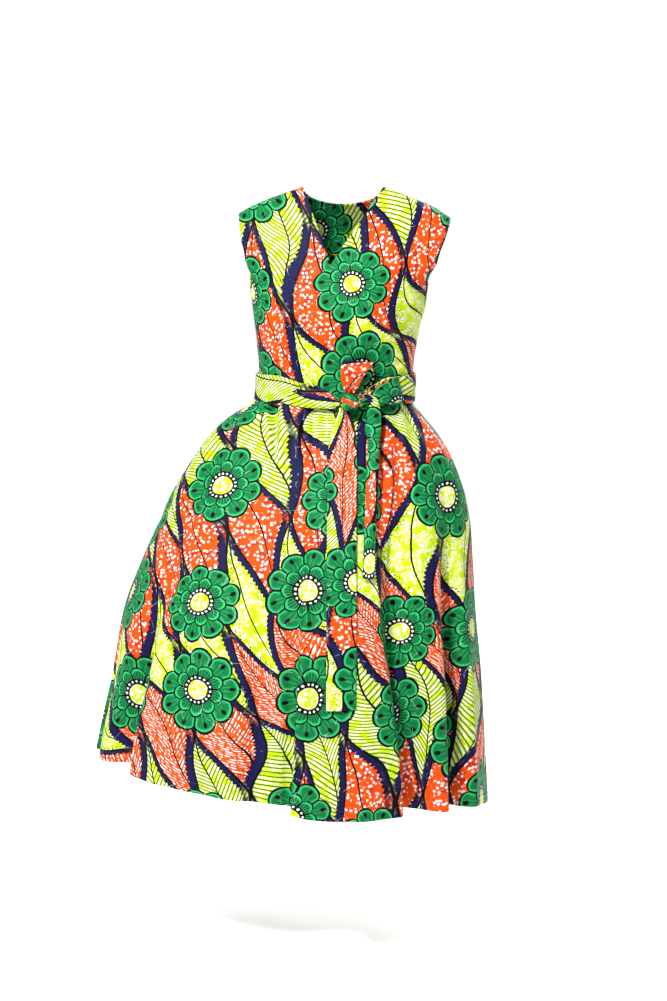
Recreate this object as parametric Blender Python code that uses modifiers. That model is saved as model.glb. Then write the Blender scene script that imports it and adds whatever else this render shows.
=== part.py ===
"""Sleeveless dress: a V-neck bodice, a full skirt with soft waist pleats, pockets in the side seams and a belt of the same cloth tied in a bow.

Metres, Z up. +X is to the right as seen from the front, and the front faces -Y. The origin is midway between the two neck ends of the shoulder seams.
"drop" is a height below the origin, and "angle" goes round the body in degrees: 0 at centre front, 90 at the right side seam, -90 at the left one, 180 at centre back."""

from collections import namedtuple

import bmesh
import bpy
import numpy as np

CLOTH = 0.0013  # panel wall
BELT_CLOTH = 0.0020  # belt wall, two layers of cloth pressed flat
BAG_CLOTH = 0.0011  # pocket wall
SEAM = 0.00045  # half the gap between two panels at a seam
WAIST = 0.3956  # drop of the waist seam
SHOULDER_SPREAD = 0.0744  # half the width between the neck ends of the shoulder seams
FRONT_SQUARE, BACK_SQUARE = 0.88, 0.92  # under 1 makes a section fuller than an ellipse

# Bodice grid and skirt grid
UP_ROWS, DOWN_ROWS, SIDE_COLUMNS = 8, 7, 8
SKIRT_ROWS, SKIRT_COLUMNS = 13, 36
SKIRT_SPLIT = 6  # each skirt panel is modelled in an upper stretch, to below the pocket openings, and a lower one

# Horizontal sections of the bodice
Torso = namedtuple("Torso", "drop centre half front back")
TORSO = [
    Torso(0.000, 0.000, 0.214, 0.056, 0.062),
    Torso(0.050, 0.003, 0.213, 0.064, 0.082),
    Torso(0.088, 0.000, 0.208, 0.078, 0.096),
    Torso(0.117, -0.002, 0.198, 0.089, 0.103),
    Torso(0.139, -0.003, 0.192, 0.096, 0.107),
    Torso(0.163, -0.004, 0.176, 0.104, 0.109),
    Torso(0.191, -0.007, 0.164, 0.110, 0.109),
    Torso(0.225, -0.009, 0.1575, 0.113, 0.106),
    Torso(0.262, -0.011, 0.151, 0.111, 0.102),
    Torso(0.288, -0.012, 0.1475, 0.108, 0.099),
    Torso(0.320, -0.013, 0.1435, 0.105, 0.097),
    Torso(0.356, -0.014, 0.1425, 0.104, 0.096),
    Torso(WAIST, -0.016, 0.1440, 0.104, 0.097),
]

# Centre front line: the bodice is turned a little to the left
Centre = namedtuple("Centre", "drop turn")
CENTRE = [
    Centre(0.000, 0.0),
    Centre(0.137, -5.9),
    Centre(0.250, -5.0),
    Centre(WAIST, -4.0),
]

# Armhole edge from the shoulder tip to the underarm
Armhole = namedtuple("Armhole", "along share front back")
ARMHOLE = [
    Armhole(0.00, 0.000, 66.0, 66.0),
    Armhole(0.25, 0.300, 64.5, 67.0),
    Armhole(0.50, 0.600, 64.5, 68.0),
    Armhole(0.70, 0.800, 68.0, 71.5),
    Armhole(0.85, 0.930, 75.0, 77.0),
    Armhole(0.95, 0.985, 83.0, 84.0),
    Armhole(1.00, 1.000, 90.0, 90.0),
]
Edge = namedtuple("Edge", "tip underarm")
EDGES = {-1: Edge(0.048, 0.192), 1: Edge(0.056, 0.205)}
FRONT_NECK = 0.137  # drop of the V point
BACK_NECK = 0.030  # drop of the back neck at its middle
SHOULDER_ROUND_IN, SHOULDER_ROUND_OUT = 0.100, 0.055  # height over which the front rounds over the shoulder
BUST_DROP, BUST_OUT, BUST_HIGH, BUST_WIDE, BUST_FULL = 0.232, 0.084, 0.060, 0.056, 0.012

# Outline of the skirt at each height, without its valleys
Section = namedtuple("Section", "drop left right front back")
SKIRT = [
    Section(WAIST, -0.1600, 0.1280, 0.104, 0.097),
    Section(0.4080, -0.1635, 0.1310, 0.107, 0.100),
    Section(0.4200, -0.1930, 0.1430, 0.114, 0.108),
    Section(0.4430, -0.2330, 0.1660, 0.128, 0.125),
    Section(0.4860, -0.2700, 0.1950, 0.152, 0.148),
    Section(0.5260, -0.2960, 0.2130, 0.172, 0.168),
    Section(0.5750, -0.3250, 0.2290, 0.194, 0.188),
    Section(0.6260, -0.3480, 0.2390, 0.214, 0.206),
    Section(0.6920, -0.3780, 0.2440, 0.238, 0.228),
    Section(0.7880, -0.4140, 0.2500, 0.268, 0.256),
    Section(0.9110, -0.4370, 0.2620, 0.298, 0.282),
    Section(1.0430, -0.4660, 0.2700, 0.322, 0.302),
    Section(1.1600, -0.4820, 0.2760, 0.336, 0.314),
]

# Drop of the hem round the skirt
Hem = namedtuple("Hem", "angle drop")
HEM = [
    Hem(-90, 1.052),
    Hem(-60, 1.052),
    Hem(-30, 1.064),
    Hem(0, 1.090),
    Hem(15, 1.106),
    Hem(40, 1.112),
    Hem(65, 1.130),
    Hem(90, 1.152),
    Hem(125, 1.130),
    Hem(180, 1.098),
    Hem(235, 1.066),
    Hem(270, 1.052),
]

# Valleys between the flutes: where they run, their reach to each side, their depth under the belt and at the hem, and how far the crest beside them leans over
Valley = namedtuple("Valley", "name waist middle hem before after tuck deep start lean")
VALLEYS = [
    Valley("left_edge", -88, -84, -81, 6, 6, 0.003, 0.016, 0.50, 0.000),
    Valley("left_pleat", -65, -53, -61, 10, 9, 0.006, 0.050, 0.34, 0.004),
    Valley("left_soft", -38, -30, -27, 15, 15, 0.006, 0.014, 0.00, 0.000),
    Valley("front_left", -14, -4, -1, 24, 8, 0.004, 0.048, 0.12, -0.014),
    Valley("front_right", 36, 30.5, 38, 7, 12, 0.006, 0.060, 0.05, 0.010),
    Valley("right_pleat", 64, 57, 57.5, 9, 9, 0.006, 0.085, 0.30, 0.000),
    Valley("right_back", 112, 113, 114, 17, 13, 0.006, 0.056, 0.08, 0.004),
    Valley("back_right", 148, 146, 147, 15, 16, 0.006, 0.050, 0.10, 0.000),
    Valley("back_middle", 181, 184, 183, 15, 17, 0.005, 0.058, 0.12, -0.004),
    Valley("back_left", 214, 215, 218, 17, 14, 0.006, 0.046, 0.08, 0.000),
    Valley("left_back", 246, 245, 247, 14, 14, 0.006, 0.054, 0.10, 0.004),
]

# Pocket openings in the side seams
Opening = namedtuple("Opening", "top bottom front back")
POCKETS = {
    -1: Opening(0.424, 0.580, 0.015, 0.011),
    1: Opening(0.440, 0.596, 0.015, 0.011),
}
Bag = namedtuple("Bag", "along high thick forward down")
BAG = [
    Bag(0.00, 0.92, 0.0105, 0.000, 0.000),
    Bag(0.12, 0.97, 0.0125, 0.002, 0.002),
    Bag(0.30, 1.02, 0.0135, 0.009, 0.008),
    Bag(0.52, 1.04, 0.0130, 0.022, 0.018),
    Bag(0.74, 0.98, 0.0120, 0.038, 0.030),
    Bag(0.90, 0.80, 0.0095, 0.049, 0.039),
    Bag(0.98, 0.48, 0.0050, 0.054, 0.044),
    Bag(1.00, 0.30, 0.0010, 0.055, 0.045),
]
BAG_DEEP, BAG_COLUMNS, BAG_APART = 0.135, 6, 0.0008

# Belt round the waist, from the right of the knot, by the back, to the turned fold at the front left
Band = namedtuple("Band", "along top_angle bottom_angle top bottom out")
BAND = [
    Band(0.000, 13, 13, 0.3760, 0.3950, 0.0070),
    Band(0.060, 26, 26, 0.3600, 0.3965, 0.0058),
    Band(0.120, 42, 42, 0.3450, 0.3945, 0.0052),
    Band(0.250, 90, 90, 0.3420, 0.3925, 0.0052),
    Band(0.500, 180, 180, 0.3420, 0.3925, 0.0052),
    Band(0.750, 270, 270, 0.3420, 0.3915, 0.0052),
    Band(0.860, 308, 300, 0.3420, 0.3935, 0.0052),
    Band(1.000, 341, 322, 0.3590, 0.3960, 0.0052),
]
BAND_COLUMNS, BAND_ROWS = 36, 3

# Front left stretch, from the turned fold to the knot
Stretch = namedtuple("Stretch", "along top_x top_drop bottom_x bottom_drop out")
STRETCH = [
    Stretch(0.00, -0.0680, 0.3520, -0.1120, 0.3900, 0.0098),
    Stretch(0.25, -0.0530, 0.3565, -0.0850, 0.3955, 0.0104),
    Stretch(0.50, -0.0370, 0.3645, -0.0550, 0.3985, 0.0110),
    Stretch(0.75, -0.0205, 0.3735, -0.0220, 0.3990, 0.0125),
    Stretch(1.00, -0.0075, 0.3815, -0.0075, 0.3945, 0.0150),
]

KNOT_CENTRE, KNOT_HALF = (0.0115, -0.1265, -0.3870), (0.0170, 0.0105, 0.0150)

# Loops of the bow. u runs along the loop and w out of it; w = 0 lies on the front of the dress
Loop = namedtuple("Loop", "along u w half shift")
LOOP_UP = [
    Loop(0.00, 0.0006, 0.0060, 0.0088, -0.0010),
    Loop(0.14, 0.0190, 0.0150, 0.0160, -0.0010),
    Loop(0.30, 0.0400, 0.0195, 0.0225, 0.0020),
    Loop(0.42, 0.0535, 0.0165, 0.0258, 0.0060),
    Loop(0.50, 0.0585, 0.0095, 0.0268, 0.0100),
    Loop(0.58, 0.0550, 0.0030, 0.0266, 0.0130),
    Loop(0.70, 0.0400, 0.0005, 0.0235, 0.0150),
    Loop(0.86, 0.0190, 0.0000, 0.0155, 0.0110),
    Loop(1.00, 0.0006, 0.0000, 0.0085, 0.0050),
]
LOOP_RIGHT = [
    Loop(0.00, 0.0010, 0.0080, 0.0070, 0.0010),
    Loop(0.14, 0.0240, 0.0150, 0.0130, 0.0005),
    Loop(0.30, 0.0500, 0.0175, 0.0190, 0.0000),
    Loop(0.42, 0.0700, 0.0140, 0.0215, -0.0010),
    Loop(0.50, 0.0770, 0.0080, 0.0220, -0.0015),
    Loop(0.58, 0.0720, 0.0020, 0.0215, -0.0030),
    Loop(0.70, 0.0500, 0.0002, 0.0180, -0.0050),
    Loop(0.86, 0.0240, 0.0004, 0.0120, -0.0050),
    Loop(1.00, 0.0010, 0.0010, 0.0060, -0.0030),
]
LOOP_COLUMNS, LOOP_ROWS = 16, 4
UP_ROOT, UP_LEAN = (0.0125, -0.3715), 5.0  # x and height of the root, and degrees from upright
RIGHT_ROOT, RIGHT_LEAN = (0.0300, -0.3850), 76.0
LOOP_CLEAR = 0.0088  # from the dress to a loop's back layer

# Tails
Tail = namedtuple("Tail", "along drop left right out")
TAIL_LONG = [
    Tail(0.00, 0.4040, -0.0075, 0.0105, 0.0130),
    Tail(0.05, 0.4240, -0.0150, 0.0165, 0.0100),
    Tail(0.11, 0.4500, -0.0235, 0.0215, 0.0065),
    Tail(0.18, 0.4800, -0.0275, 0.0235, 0.0045),
    Tail(0.40, 0.5900, -0.0290, 0.0225, 0.0040),
    Tail(1.00, 0.9130, -0.0303, 0.0216, 0.0040),
]
TAIL_COLUMNS, TAIL_ROWS = 14, 4
Folded = namedtuple("Folded", "along x drop half lift gap")
TAIL_SHORT = [
    Folded(0.00, 0.0325, 0.3722, 0.0060, 0.0360, 0.0036),
    Folded(0.04, 0.0440, 0.3745, 0.0085, 0.0375, 0.0040),
    Folded(0.09, 0.0535, 0.3850, 0.0095, 0.0375, 0.0046),
    Folded(0.16, 0.0545, 0.4050, 0.0125, 0.0300, 0.0050),
    Folded(0.25, 0.0525, 0.4350, 0.0150, 0.0160, 0.0050),
    Folded(0.33, 0.0535, 0.4600, 0.0105, 0.0110, 0.0045),
    Folded(0.45, 0.0520, 0.5000, 0.0110, 0.0095, 0.0045),
    Folded(0.65, 0.0480, 0.5750, 0.0105, 0.0085, 0.0042),
    Folded(1.00, 0.0435, 0.6900, 0.0105, 0.0080, 0.0040),
]


def smooth_at(table, key, name, at):
    """A column of a table as a smooth curve of another column, without overshoot."""
    xs = np.array([getattr(row, key) for row in table], float)
    ys = np.array([getattr(row, name) for row in table], float)
    at = np.clip(np.asarray(at, float), xs[0], xs[-1])
    step = np.diff(xs)
    rise = np.diff(ys) / step
    slope = np.empty_like(ys)
    slope[0], slope[-1] = rise[0], rise[-1]
    product = rise[:-1] * rise[1:]
    total = np.where(product > 0, rise[:-1] + rise[1:], 1.0)
    slope[1:-1] = np.where(product > 0, 2 * product / total, 0.0)
    i = np.clip(np.searchsorted(xs, at, side="right") - 1, 0, len(step) - 1)
    t = (at - xs[i]) / step[i]
    return (
        (2 * t**3 - 3 * t**2 + 1) * ys[i]
        + (t**3 - 2 * t**2 + t) * step[i] * slope[i]
        + (3 * t**2 - 2 * t**3) * ys[i + 1]
        + (t**3 - t**2) * step[i] * slope[i + 1]
    )


def ramp(t):
    t = np.clip(t, 0.0, 1.0)
    return t * t * (3 - 2 * t)


def cloth_object(name, mesh, colour, thickness=None):
    made = bpy.data.objects.new(name, mesh)
    DRESS.objects.link(made)
    material = bpy.data.materials.new(name + "_cloth")
    material.use_nodes = True
    shader = material.node_tree.nodes["Principled BSDF"]
    shader.inputs["Base Color"].default_value = (*colour, 1.0)
    shader.inputs["Roughness"].default_value = 0.7
    mesh.materials.append(material)
    if thickness:
        wall = made.modifiers.new("wall", "SOLIDIFY")
        wall.thickness = thickness
        wall.offset = 0.0
    return made


def mesh_object(name, points, faces, colour, thickness):
    """An open surface through the points, made a wall of this thickness."""
    mesh = bpy.data.meshes.new(name)
    mesh.from_pydata([tuple(map(float, p)) for p in points], [], faces)
    mesh.validate()
    return cloth_object(name, mesh, colour, thickness)


def grid_faces(rows, columns, first=0, flip=False):
    faces = []
    for r in range(rows):
        for c in range(columns):
            a = first + r * (columns + 1) + c
            quad = (a, a + 1, a + columns + 2, a + columns + 1)
            faces.append(quad[::-1] if flip else quad)
    return faces


# ---- Bodice ----


def torso(angle, drop, back=False, rounding=1.0):
    """A point of the bodice surface. rounding goes from 0 at the shoulder seam to 1 below it."""
    phi = np.radians(angle)
    half = smooth_at(TORSO, "drop", "half", drop)
    x = smooth_at(TORSO, "drop", "centre", drop) + half * np.sin(phi)
    over = np.sqrt(np.clip(1 - (1 - np.clip(rounding, 0, 1)) ** 2, 0, 1))
    if back:
        depth = smooth_at(TORSO, "drop", "back", drop)
        y = depth * np.cos(phi).clip(0) ** BACK_SQUARE * over
        return x, y
    depth = smooth_at(TORSO, "drop", "front", drop)
    y = -depth * np.cos(phi).clip(0) ** FRONT_SQUARE * over
    turn = np.radians(smooth_at(CENTRE, "drop", "turn", drop))
    for side in (-1, 1):
        middle = half * np.sin(turn) + side * BUST_OUT - 0.010
        y = y - BUST_FULL * np.exp(
            -(((x - middle) / BUST_WIDE) ** 2) - ((drop - BUST_DROP) / BUST_HIGH) ** 2
        ) * over
    return x, y


def angle_of(x, drop):
    half = smooth_at(TORSO, "drop", "half", drop)
    centre = smooth_at(TORSO, "drop", "centre", drop)
    return np.degrees(np.arcsin(np.clip((x - centre) / half, -1, 1)))


def bodice_grid(side, back, up_rows, down_rows, columns):
    """Points of one half of a bodice panel: rows from the shoulder seam to the waist, columns from the neck or centre to the armhole or side."""
    edge = EDGES[side]
    r = np.concatenate(
        [1 - np.cos(np.linspace(0, np.pi / 2, up_rows + 1)), np.ones(down_rows)]
    )[:, None]
    r = 0.45 * r + 0.55 * np.minimum(1, np.arange(up_rows + down_rows + 1) / up_rows)[:, None]
    below = np.clip(np.arange(up_rows + down_rows + 1) - up_rows, 0, None)[:, None] / down_rows
    c = np.linspace(0, 1, columns + 1)[None, :]
    # Inner edge: the neckline, then the centre line
    if back:
        neck_drop = BACK_NECK * np.sin(r * np.pi / 2)
        neck_x = side * SHOULDER_SPREAD * np.cos(r * np.pi / 2)
        floor = BACK_NECK
    else:
        neck_drop = FRONT_NECK * r
        v_x = (
            smooth_at(TORSO, "drop", "centre", FRONT_NECK)
            + smooth_at(TORSO, "drop", "half", FRONT_NECK)
            * np.sin(np.radians(smooth_at(CENTRE, "drop", "turn", FRONT_NECK)))
        )
        neck_x = side * SHOULDER_SPREAD * (1 - r) + v_x * r
        floor = FRONT_NECK
    inner_drop = np.where(below > 0, floor + (WAIST - floor) * below, neck_drop)
    centre_angle = (
        angle_of(np.zeros_like(inner_drop), inner_drop)
        if back
        else smooth_at(CENTRE, "drop", "turn", inner_drop)
    )
    inner_angle = np.where(below > 0, centre_angle, angle_of(neck_x, inner_drop))
    # Outer edge: the armhole, then the side seam
    share = smooth_at(ARMHOLE, "along", "share", r)
    outer_drop = np.where(
        below > 0,
        edge.underarm + (WAIST - edge.underarm) * below,
        edge.tip + (edge.underarm - edge.tip) * share,
    )
    outer_angle = side * smooth_at(ARMHOLE, "along", "back" if back else "front", r)
    angle = inner_angle + (outer_angle - inner_angle) * c
    drop = inner_drop + (outer_drop - inner_drop) * c
    seam_drop = edge.tip * c
    height = SHOULDER_ROUND_IN + (SHOULDER_ROUND_OUT - SHOULDER_ROUND_IN) * c
    x, y = torso(angle, drop, back, (drop - seam_drop) / height)
    # The two panels stand apart at the shoulder and side seams
    apart = SEAM * (1 if back else -1)
    y = y + apart
    return x, y, -drop


def bodice(name, back, colour):
    points, faces = [], []
    count = (UP_ROWS + DOWN_ROWS + 1) * (SIDE_COLUMNS + 1)
    for i, side in enumerate((-1, 1)):
        x, y, z = bodice_grid(side, back, UP_ROWS, DOWN_ROWS, SIDE_COLUMNS)
        points.extend(np.stack([x, y, z + 0 * x], -1).reshape(-1, 3))
        faces.extend(
            grid_faces(
                UP_ROWS + DOWN_ROWS, SIDE_COLUMNS, i * count, (side < 0) != back
            )
        )
    # The halves share the centre line below the neck
    rows = SIDE_COLUMNS + 1
    same = {count + r * rows: r * rows for r in range(UP_ROWS, UP_ROWS + DOWN_ROWS + 1)}
    faces = [tuple(same.get(v, v) for v in face) for face in faces]
    used = sorted({v for face in faces for v in face})
    place = {v: i for i, v in enumerate(used)}
    return mesh_object(
        name,
        [points[v] for v in used],
        [tuple(place[v] for v in face) for face in faces],
        colour,
        CLOTH,
    )


# ---- Skirt ----


def valley_angle(valley, s):
    return np.where(
        s < 0.4,
        valley.waist + (valley.middle - valley.waist) * ramp(s / 0.4),
        valley.middle + (valley.hem - valley.middle) * ramp((s - 0.4) / 0.6),
    )


def lens(side, drop):
    """From 0 at the ends of a pocket opening to 1 at its middle."""
    pocket = POCKETS[side]
    t = (drop - pocket.top) / (pocket.bottom - pocket.top)
    return np.where((t > 0) & (t < 1), np.sin(np.pi * np.clip(t, 0, 1)) ** 0.8, 0.0)


def skirt(angle, s):
    """A point of the skirt surface. s goes from 0 at the waist seam to 1 at the hem."""
    angle, s = np.broadcast_arrays(np.asarray(angle, float), np.asarray(s, float))
    wrapped = (angle + 90) % 360 - 90
    wrapped = np.where((wrapped == -90) & (angle > 0), 270.0, wrapped)
    hem = smooth_at(HEM, "angle", "drop", wrapped)
    drop = WAIST + (hem - WAIST) * s
    left, right = (smooth_at(SKIRT, "drop", n, drop) for n in ("left", "right"))
    half, centre = (right - left) / 2, (right + left) / 2
    phi = np.radians(wrapped)
    is_back = np.cos(phi) < 0
    depth = np.where(
        is_back,
        smooth_at(SKIRT, "drop", "back", drop),
        smooth_at(SKIRT, "drop", "front", drop),
    )
    square = 1 + (np.where(is_back, BACK_SQUARE, FRONT_SQUARE) - 1) * (1 - ramp(s / 0.25))
    cosine = np.sign(np.cos(phi)) * np.abs(np.cos(phi)) ** square
    x = centre + half * np.sin(phi)
    y = -depth * cosine
    out_x, out_y = np.sin(phi) / half, -np.cos(phi) / depth
    length = np.hypot(out_x, out_y)
    out_x, out_y = out_x / length, out_y / length
    in_by, along = np.zeros_like(x), np.zeros_like(x)
    for valley in VALLEYS:
        away = (wrapped - valley_angle(valley, s) + 180) % 360 - 180
        u = away / np.where(away < 0, valley.before, valley.after)
        bowl = np.where(np.abs(u) < 1, 0.5 + 0.5 * np.cos(np.pi * np.clip(u, -1, 1)), 0.0)
        grow = np.clip((s - valley.start) / (1 - valley.start), 0, 1) ** 1.15
        tuck = valley.tuck * ramp((s - 0.02) / 0.05) * (1 - 0.6 * ramp(s / 0.6))
        in_by = in_by + bowl * (tuck + valley.deep * grow)
        reach = valley.after if valley.lean < 0 else -valley.before
        crest = np.exp(-(((away - reach) / 5.0) ** 2))
        along = along + valley.lean * grow * crest
    x = x - out_x * in_by - out_y * along
    y = y - out_y * in_by + out_x * along
    for side in (-1, 1):
        near = ramp((np.sin(phi) * side - 0.80) / 0.20)
        pocket = POCKETS[side]
        opening = lens(side, drop) * near
        y = y + np.where(is_back, pocket.back, -pocket.front) * opening
    y = y + SEAM * np.where(is_back, 1, -1) * (np.abs(np.cos(phi)) < 2)
    return x, y, -drop - 2 * SEAM


def skirt_angles(first, last, columns):
    """Column angles, closer together where a valley's walls are steep."""
    fine = np.linspace(first, last, 1441)
    weight = np.ones_like(fine)
    for valley in VALLEYS:
        for turn in (0, 360):
            away = fine - valley.hem - turn
            reach = np.where(away < 0, valley.before, valley.after)
            near = np.abs(away) < reach * 1.15
            weight = weight + near * valley.deep / reach * 480
    total = np.concatenate([[0], np.cumsum((weight[1:] + weight[:-1]) / 2)])
    return np.interp(np.linspace(0, total[-1], columns + 1), total, fine)


def skirt_rows(rows):
    t = np.linspace(0, 1, rows + 1)
    return 0.45 * t + 0.55 * t**2.0


def skirt_panel(name, first, last, back, rows, colour):
    """A stretch of a skirt panel: columns from one side seam to the other, rows[0] to rows[1] of SKIRT_ROWS."""
    angle = skirt_angles(first, last, SKIRT_COLUMNS)[None, :]
    if back:
        angle = np.clip(angle, first + 1e-6, last - 1e-6)
    s = skirt_rows(SKIRT_ROWS)[rows[0] : rows[1] + 1, None]
    points = np.stack(skirt(angle, s), -1)
    # The two stretches stand apart where they meet
    if rows[0] > 0:
        points[0] += (points[1] - points[0]) * SEAM / np.linalg.norm(points[1] - points[0], axis=-1)[:, None]
    if rows[1] < SKIRT_ROWS:
        points[-1] += (points[-2] - points[-1]) * SEAM / np.linalg.norm(points[-2] - points[-1], axis=-1)[:, None]
    return mesh_object(
        name,
        points.reshape(-1, 3),
        grid_faces(rows[1] - rows[0], SKIRT_COLUMNS, 0, False),
        colour,
        CLOTH,
    )


def skirt_front_at(x, drop):
    """The foremost y of the skirt front near x at this drop."""
    angle = np.linspace(-80, 80, 641)
    hem = smooth_at(HEM, "angle", "drop", angle)
    sx, sy, _ = skirt(angle, np.clip((drop - WAIST) / (hem - WAIST), 0, 1))
    near = np.abs(sx - x) < 0.006
    return sy[near].min()


def dress_front_at(x, drop):
    """The foremost y of the dress front near x at this drop, above or below the waist."""
    if drop >= WAIST:
        return skirt_front_at(x, drop)
    return float(torso(angle_of(np.array(x), np.array(drop)), np.array(drop))[1])


# ---- Pocket bags ----


def pocket_layer(name, side, back, colour):
    """One of the two pieces of a pocket bag: the front one lies nearer the skirt front, and the two meet round the bag's edge."""
    pocket = POCKETS[side]
    middle, half_high = (pocket.top + pocket.bottom) / 2, (pocket.bottom - pocket.top) / 2

    def seam_at(drop):
        hem = smooth_at(HEM, "angle", "drop", 90.0 * side)
        x, _, z = skirt(89.99 * side, (drop - WAIST) / (hem - WAIST))
        return np.array([float(x), 0.0, float(z)])

    top, bottom, mouth = seam_at(pocket.top), seam_at(pocket.bottom), seam_at(middle)
    down = (bottom - top) / np.linalg.norm(bottom - top)
    inward = np.array([-side * abs(down[2]), 0.0, -abs(down[0])])
    out = 1 if back else -1
    points = []
    for row in BAG:
        for turn in np.linspace(0, np.pi, BAG_COLUMNS + 1):
            high = half_high * row.high * np.cos(turn)
            # the mouth follows the seam's own curve
            place = seam_at(middle + high) * (1 - row.along) + (mouth + down * high) * row.along
            place = place + inward * (0.0035 + BAG_DEEP * row.along)
            thick = BAG_APART + row.thick * np.sin(turn)
            points.append(place + np.array([0.0, out * thick - row.forward, -row.down]))
    return mesh_object(
        name, points, grid_faces(len(BAG) - 1, BAG_COLUMNS, 0, (side > 0) != back), colour, BAG_CLOTH
    )


# ---- Belt ----


def waist_point(angle, drop, out):
    """A point of the waist moved out square to the section."""
    drop = min(drop, WAIST)
    turn = (angle + 180) % 360 - 180
    is_back = abs(turn) > 90
    fold = (180 - turn) if turn > 90 else (-180 - turn) if turn < -90 else turn
    x, y = torso(np.array(fold), np.array(drop), is_back)
    half = float(smooth_at(TORSO, "drop", "half", drop))
    depth = float(smooth_at(TORSO, "drop", "back" if is_back else "front", drop))
    out_x = np.sin(np.radians(turn)) / half
    out_y = -np.cos(np.radians(turn)) / depth
    length = np.hypot(out_x, out_y)
    return float(x) + out * out_x / length, float(y) + out * out_y / length


def belt_band(name, colour):
    points = []
    for along in np.linspace(0, 1, BAND_COLUMNS + 1):
        row = {n: float(smooth_at(BAND, "along", n, along)) for n in Band._fields[1:]}
        for v in np.linspace(0, 1, BAND_ROWS + 1):
            angle = row["top_angle"] * (1 - v) + row["bottom_angle"] * v
            drop = row["top"] * (1 - v) + row["bottom"] * v
            x, y = waist_point(angle, drop, row["out"] + 0.001 * np.sin(np.pi * v))
            points.append((x, y, -drop))
    return mesh_object(
        name, points, grid_faces(BAND_COLUMNS, BAND_ROWS, 0, True), colour, BELT_CLOTH
    )


def belt_stretch(name, colour):
    columns, rows = 6, 4
    points = []
    for along in np.linspace(0, 1, columns + 1):
        row = {n: float(smooth_at(STRETCH, "along", n, along)) for n in Stretch._fields[1:]}
        for v in np.linspace(0, 1, rows + 1):
            x = row["top_x"] * (1 - v) + row["bottom_x"] * v
            drop = row["top_drop"] * (1 - v) + row["bottom_drop"] * v
            y = dress_front_at(x, min(drop, WAIST - 1e-6))
            points.append((x, y - row["out"] - 0.0012 * np.sin(np.pi * v), -drop))
    return mesh_object(name, points, grid_faces(columns, rows), colour, BELT_CLOTH)


def rounded(value, power):
    return np.sign(value) * np.abs(value) ** power


def belt_knot(name, colour):
    """A ball squared off to a rounded block, pinched a little between its three turns of cloth."""
    ball = bmesh.new()
    bmesh.ops.create_uvsphere(ball, u_segments=18, v_segments=9, radius=1.0)
    for vertex in ball.verts:
        x, y, z = vertex.co
        level = np.hypot(x, y)
        if level > 1e-6:
            level_out = level**0.75
            x, y = level_out * rounded(x / level, 0.8), level_out * rounded(y / level, 0.8)
        z = rounded(z, 0.85)
        pinch = 1 - 0.05 * np.cos(3 * np.pi * (z + 0.25 * x)) * (1 - abs(z) ** 4)
        vertex.co = (
            KNOT_CENTRE[0] + KNOT_HALF[0] * x * pinch,
            KNOT_CENTRE[1] + KNOT_HALF[1] * y * pinch,
            KNOT_CENTRE[2] + KNOT_HALF[2] * z,
        )
    mesh = bpy.data.meshes.new(name)
    ball.to_mesh(mesh)
    ball.free()
    return cloth_object(name, mesh, colour)


def bow_loop(name, table, root, lean, colour):
    along_x, along_z = np.sin(np.radians(lean)), np.cos(np.radians(lean))
    points = []
    for along in np.linspace(0, 1, LOOP_COLUMNS + 1):
        row = {n: float(smooth_at(table, "along", n, along)) for n in Loop._fields[1:]}
        for v in np.linspace(-1, 1, LOOP_ROWS + 1):
            across = row["shift"] + v * row["half"]
            x = root[0] + along_x * row["u"] + along_z * across
            z = root[1] + along_z * row["u"] - along_x * across
            base = min(
                dress_front_at(x + reach, min(-z, WAIST - 1e-6)) for reach in (-0.004, 0, 0.004)
            )
            points.append((x, base - LOOP_CLEAR - row["w"] - 0.0012 * (1 - v * v), z))
    return mesh_object(
        name, points, grid_faces(LOOP_COLUMNS, LOOP_ROWS), colour, BELT_CLOTH
    )


def belt_tail_long(name, colour):
    points = []
    for along in np.linspace(0, 1, TAIL_COLUMNS + 1) ** 1.3:
        row = {n: float(smooth_at(TAIL_LONG, "along", n, along)) for n in Tail._fields[1:]}
        for v in np.linspace(0, 1, TAIL_ROWS + 1):
            x = row["left"] * (1 - v) + row["right"] * v
            y = dress_front_at(x, row["drop"]) - row["out"]
            points.append((x, y - 0.001 * np.sin(np.pi * v), -row["drop"]))
    return mesh_object(
        name, points, grid_faces(TAIL_COLUMNS, TAIL_ROWS), colour, BELT_CLOTH
    )


def belt_tail_short(name, colour):
    """A strip folded lengthwise: an outer layer, a rounded fold on its right and an inner layer behind it."""
    section = [(-1.0, 0.0), (-0.4, -0.25), (0.35, -0.25), (0.88, 0.1), (1.0, 0.55), (0.88, 1.0), (0.35, 1.25), (-0.5, 1.15)]
    points = []
    for along in np.linspace(0, 1, TAIL_COLUMNS + 1):
        row = {n: float(smooth_at(TAIL_SHORT, "along", n, along)) for n in Folded._fields[1:]}
        base = min(
            dress_front_at(row["x"] + side * row["half"], row["drop"]) for side in (-1, 0, 1)
        )
        for across, behind in section:
            points.append(
                (
                    row["x"] + across * row["half"],
                    base - row["lift"] + behind * row["gap"],
                    -row["drop"] - 0.0004 * across,
                )
            )
    return mesh_object(
        name, points, grid_faces(TAIL_COLUMNS, len(section) - 1), colour, BELT_CLOTH * 0.6
    )


for existing in list(bpy.data.objects):
    bpy.data.objects.remove(existing, do_unlink=True)
DRESS = bpy.data.collections.new("sleeveless_dress")
bpy.context.scene.collection.children.link(DRESS)

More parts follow.
